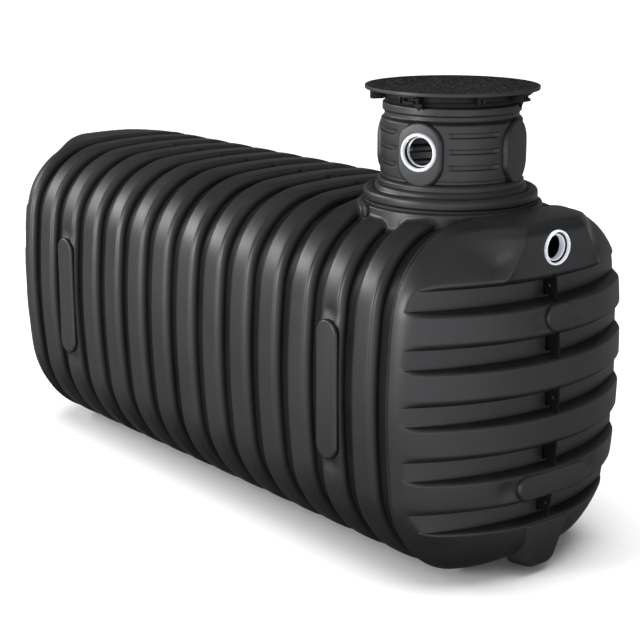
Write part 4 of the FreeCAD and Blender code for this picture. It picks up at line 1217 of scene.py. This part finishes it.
def makeCamera():
    data = bpy.data.cameras.new("camera")
    data.lens = view["lens"]
    data.sensor_width = view["sensor"]
    camera = newThing("camera", data, view["place"])
    aim(camera, Vector(view["forward"]))
    bpy.context.scene.camera = camera


overhead = {"power": 3.2, "spread": 60}
softboxes = {
    "shoulderBox": {"place": (-5.6, -4.6, 4.0), "aim": (0.0, -0.4, 1.4), "size": (5.0, 1.6), "power": 320.0},
    "rimBox": {"place": (-1.0, -9.0, 2.8), "aim": (0.0, 0.0, 1.0), "size": (1.8, 3.0), "power": 520.0},
}
insideGlow = {"power": 2.0, "radius": 0.08, "height": 1.76}  # what little light falls into the turret


def newLamp(name, kind, power, place=origin):
    data = bpy.data.lights.new(name, kind)
    data.energy = power
    return newThing(name, data, place)


def makeLamps():
    sun = newLamp("overhead", "SUN", overhead["power"])
    sun.data.angle = math.radians(overhead["spread"])
    sun.visible_glossy = False
    for name, box in softboxes.items():
        lamp = newLamp(name, "AREA", box["power"], box["place"])
        lamp.data.shape = "RECTANGLE"
        lamp.data.size, lamp.data.size_y = box["size"]
        aim(lamp, Vector(box["aim"]) - Vector(box["place"]))
    glow = newLamp("insideGlow", "POINT", insideGlow["power"], (turretX, 0.0, insideGlow["height"]))
    glow.data.shadow_soft_size = insideGlow["radius"]


# the studio's light by direction: from and to of a share, and the light at both
studio = {
    "acrossView": (0.634, 0.774), "alongView": (0.774, -0.634),
    "front": (-1.0, 1.0, 0.4, 2.5),  # palest behind the camera
    "left": (-1.0, -0.2, 0.70, 1.0), "right": (0.3, 1.0, 1.0, 0.46),
    "below": (-0.76, -0.08, 0.03, 1.0), "above": (-0.04, 0.30, 1.0, 0.28),
    "colour": (0.96, 0.97, 1.0, 1.0), "backdrop": (0.92, 0.92, 0.92, 1.0),
}


def addDot(tree, split, direction):  # how far a flat direction is looked along
    parts = [addMath(tree, "MULTIPLY", split[axis], value) for axis, value in zip("XY", direction)]
    return addMath(tree, "ADD", *parts)


def makeStudio():
    world = bpy.data.worlds.new("studio")
    bpy.context.scene.world = world
    world.use_nodes = True
    tree = world.node_tree
    split = addSplit(tree, tree.nodes.new("ShaderNodeTexCoord").outputs["Generated"])
    across = addDot(tree, split, studio["acrossView"])
    along = addDot(tree, split, studio["alongView"])
    front = addRange(tree, along, *studio["front"])
    left = addRange(tree, across, *studio["left"])
    right = addRange(tree, across, *studio["right"])
    below = addRange(tree, split["Z"], *studio["below"])
    above = addRange(tree, split["Z"], *studio["above"])
    band = addMath(tree, "MULTIPLY", addMath(tree, "MULTIPLY", below, above), front)
    band = addMath(tree, "MULTIPLY", band, addMath(tree, "MULTIPLY", left, right))
    shade = tree.nodes["Background"]
    shade.inputs["Color"].default_value = studio["colour"]
    tree.links.new(band, shade.inputs["Strength"])
    pale = tree.nodes.new("ShaderNodeBackground")
    pale.inputs["Color"].default_value = studio["backdrop"]
    mix = tree.nodes.new("ShaderNodeMixShader")
    seen = tree.nodes.new("ShaderNodeLightPath")
    tree.links.new(seen.outputs["Is Camera Ray"], mix.inputs[0])
    tree.links.new(shade.outputs[0], mix.inputs[1])
    tree.links.new(pale.outputs[0], mix.inputs[2])
    tree.links.new(mix.outputs[0], tree.nodes["World Output"].inputs["Surface"])


makeStage()
makeCamera()
makeLamps()
makeStudio()
bpy.context.scene.view_settings.view_transform = "Standard"
print("stage set")
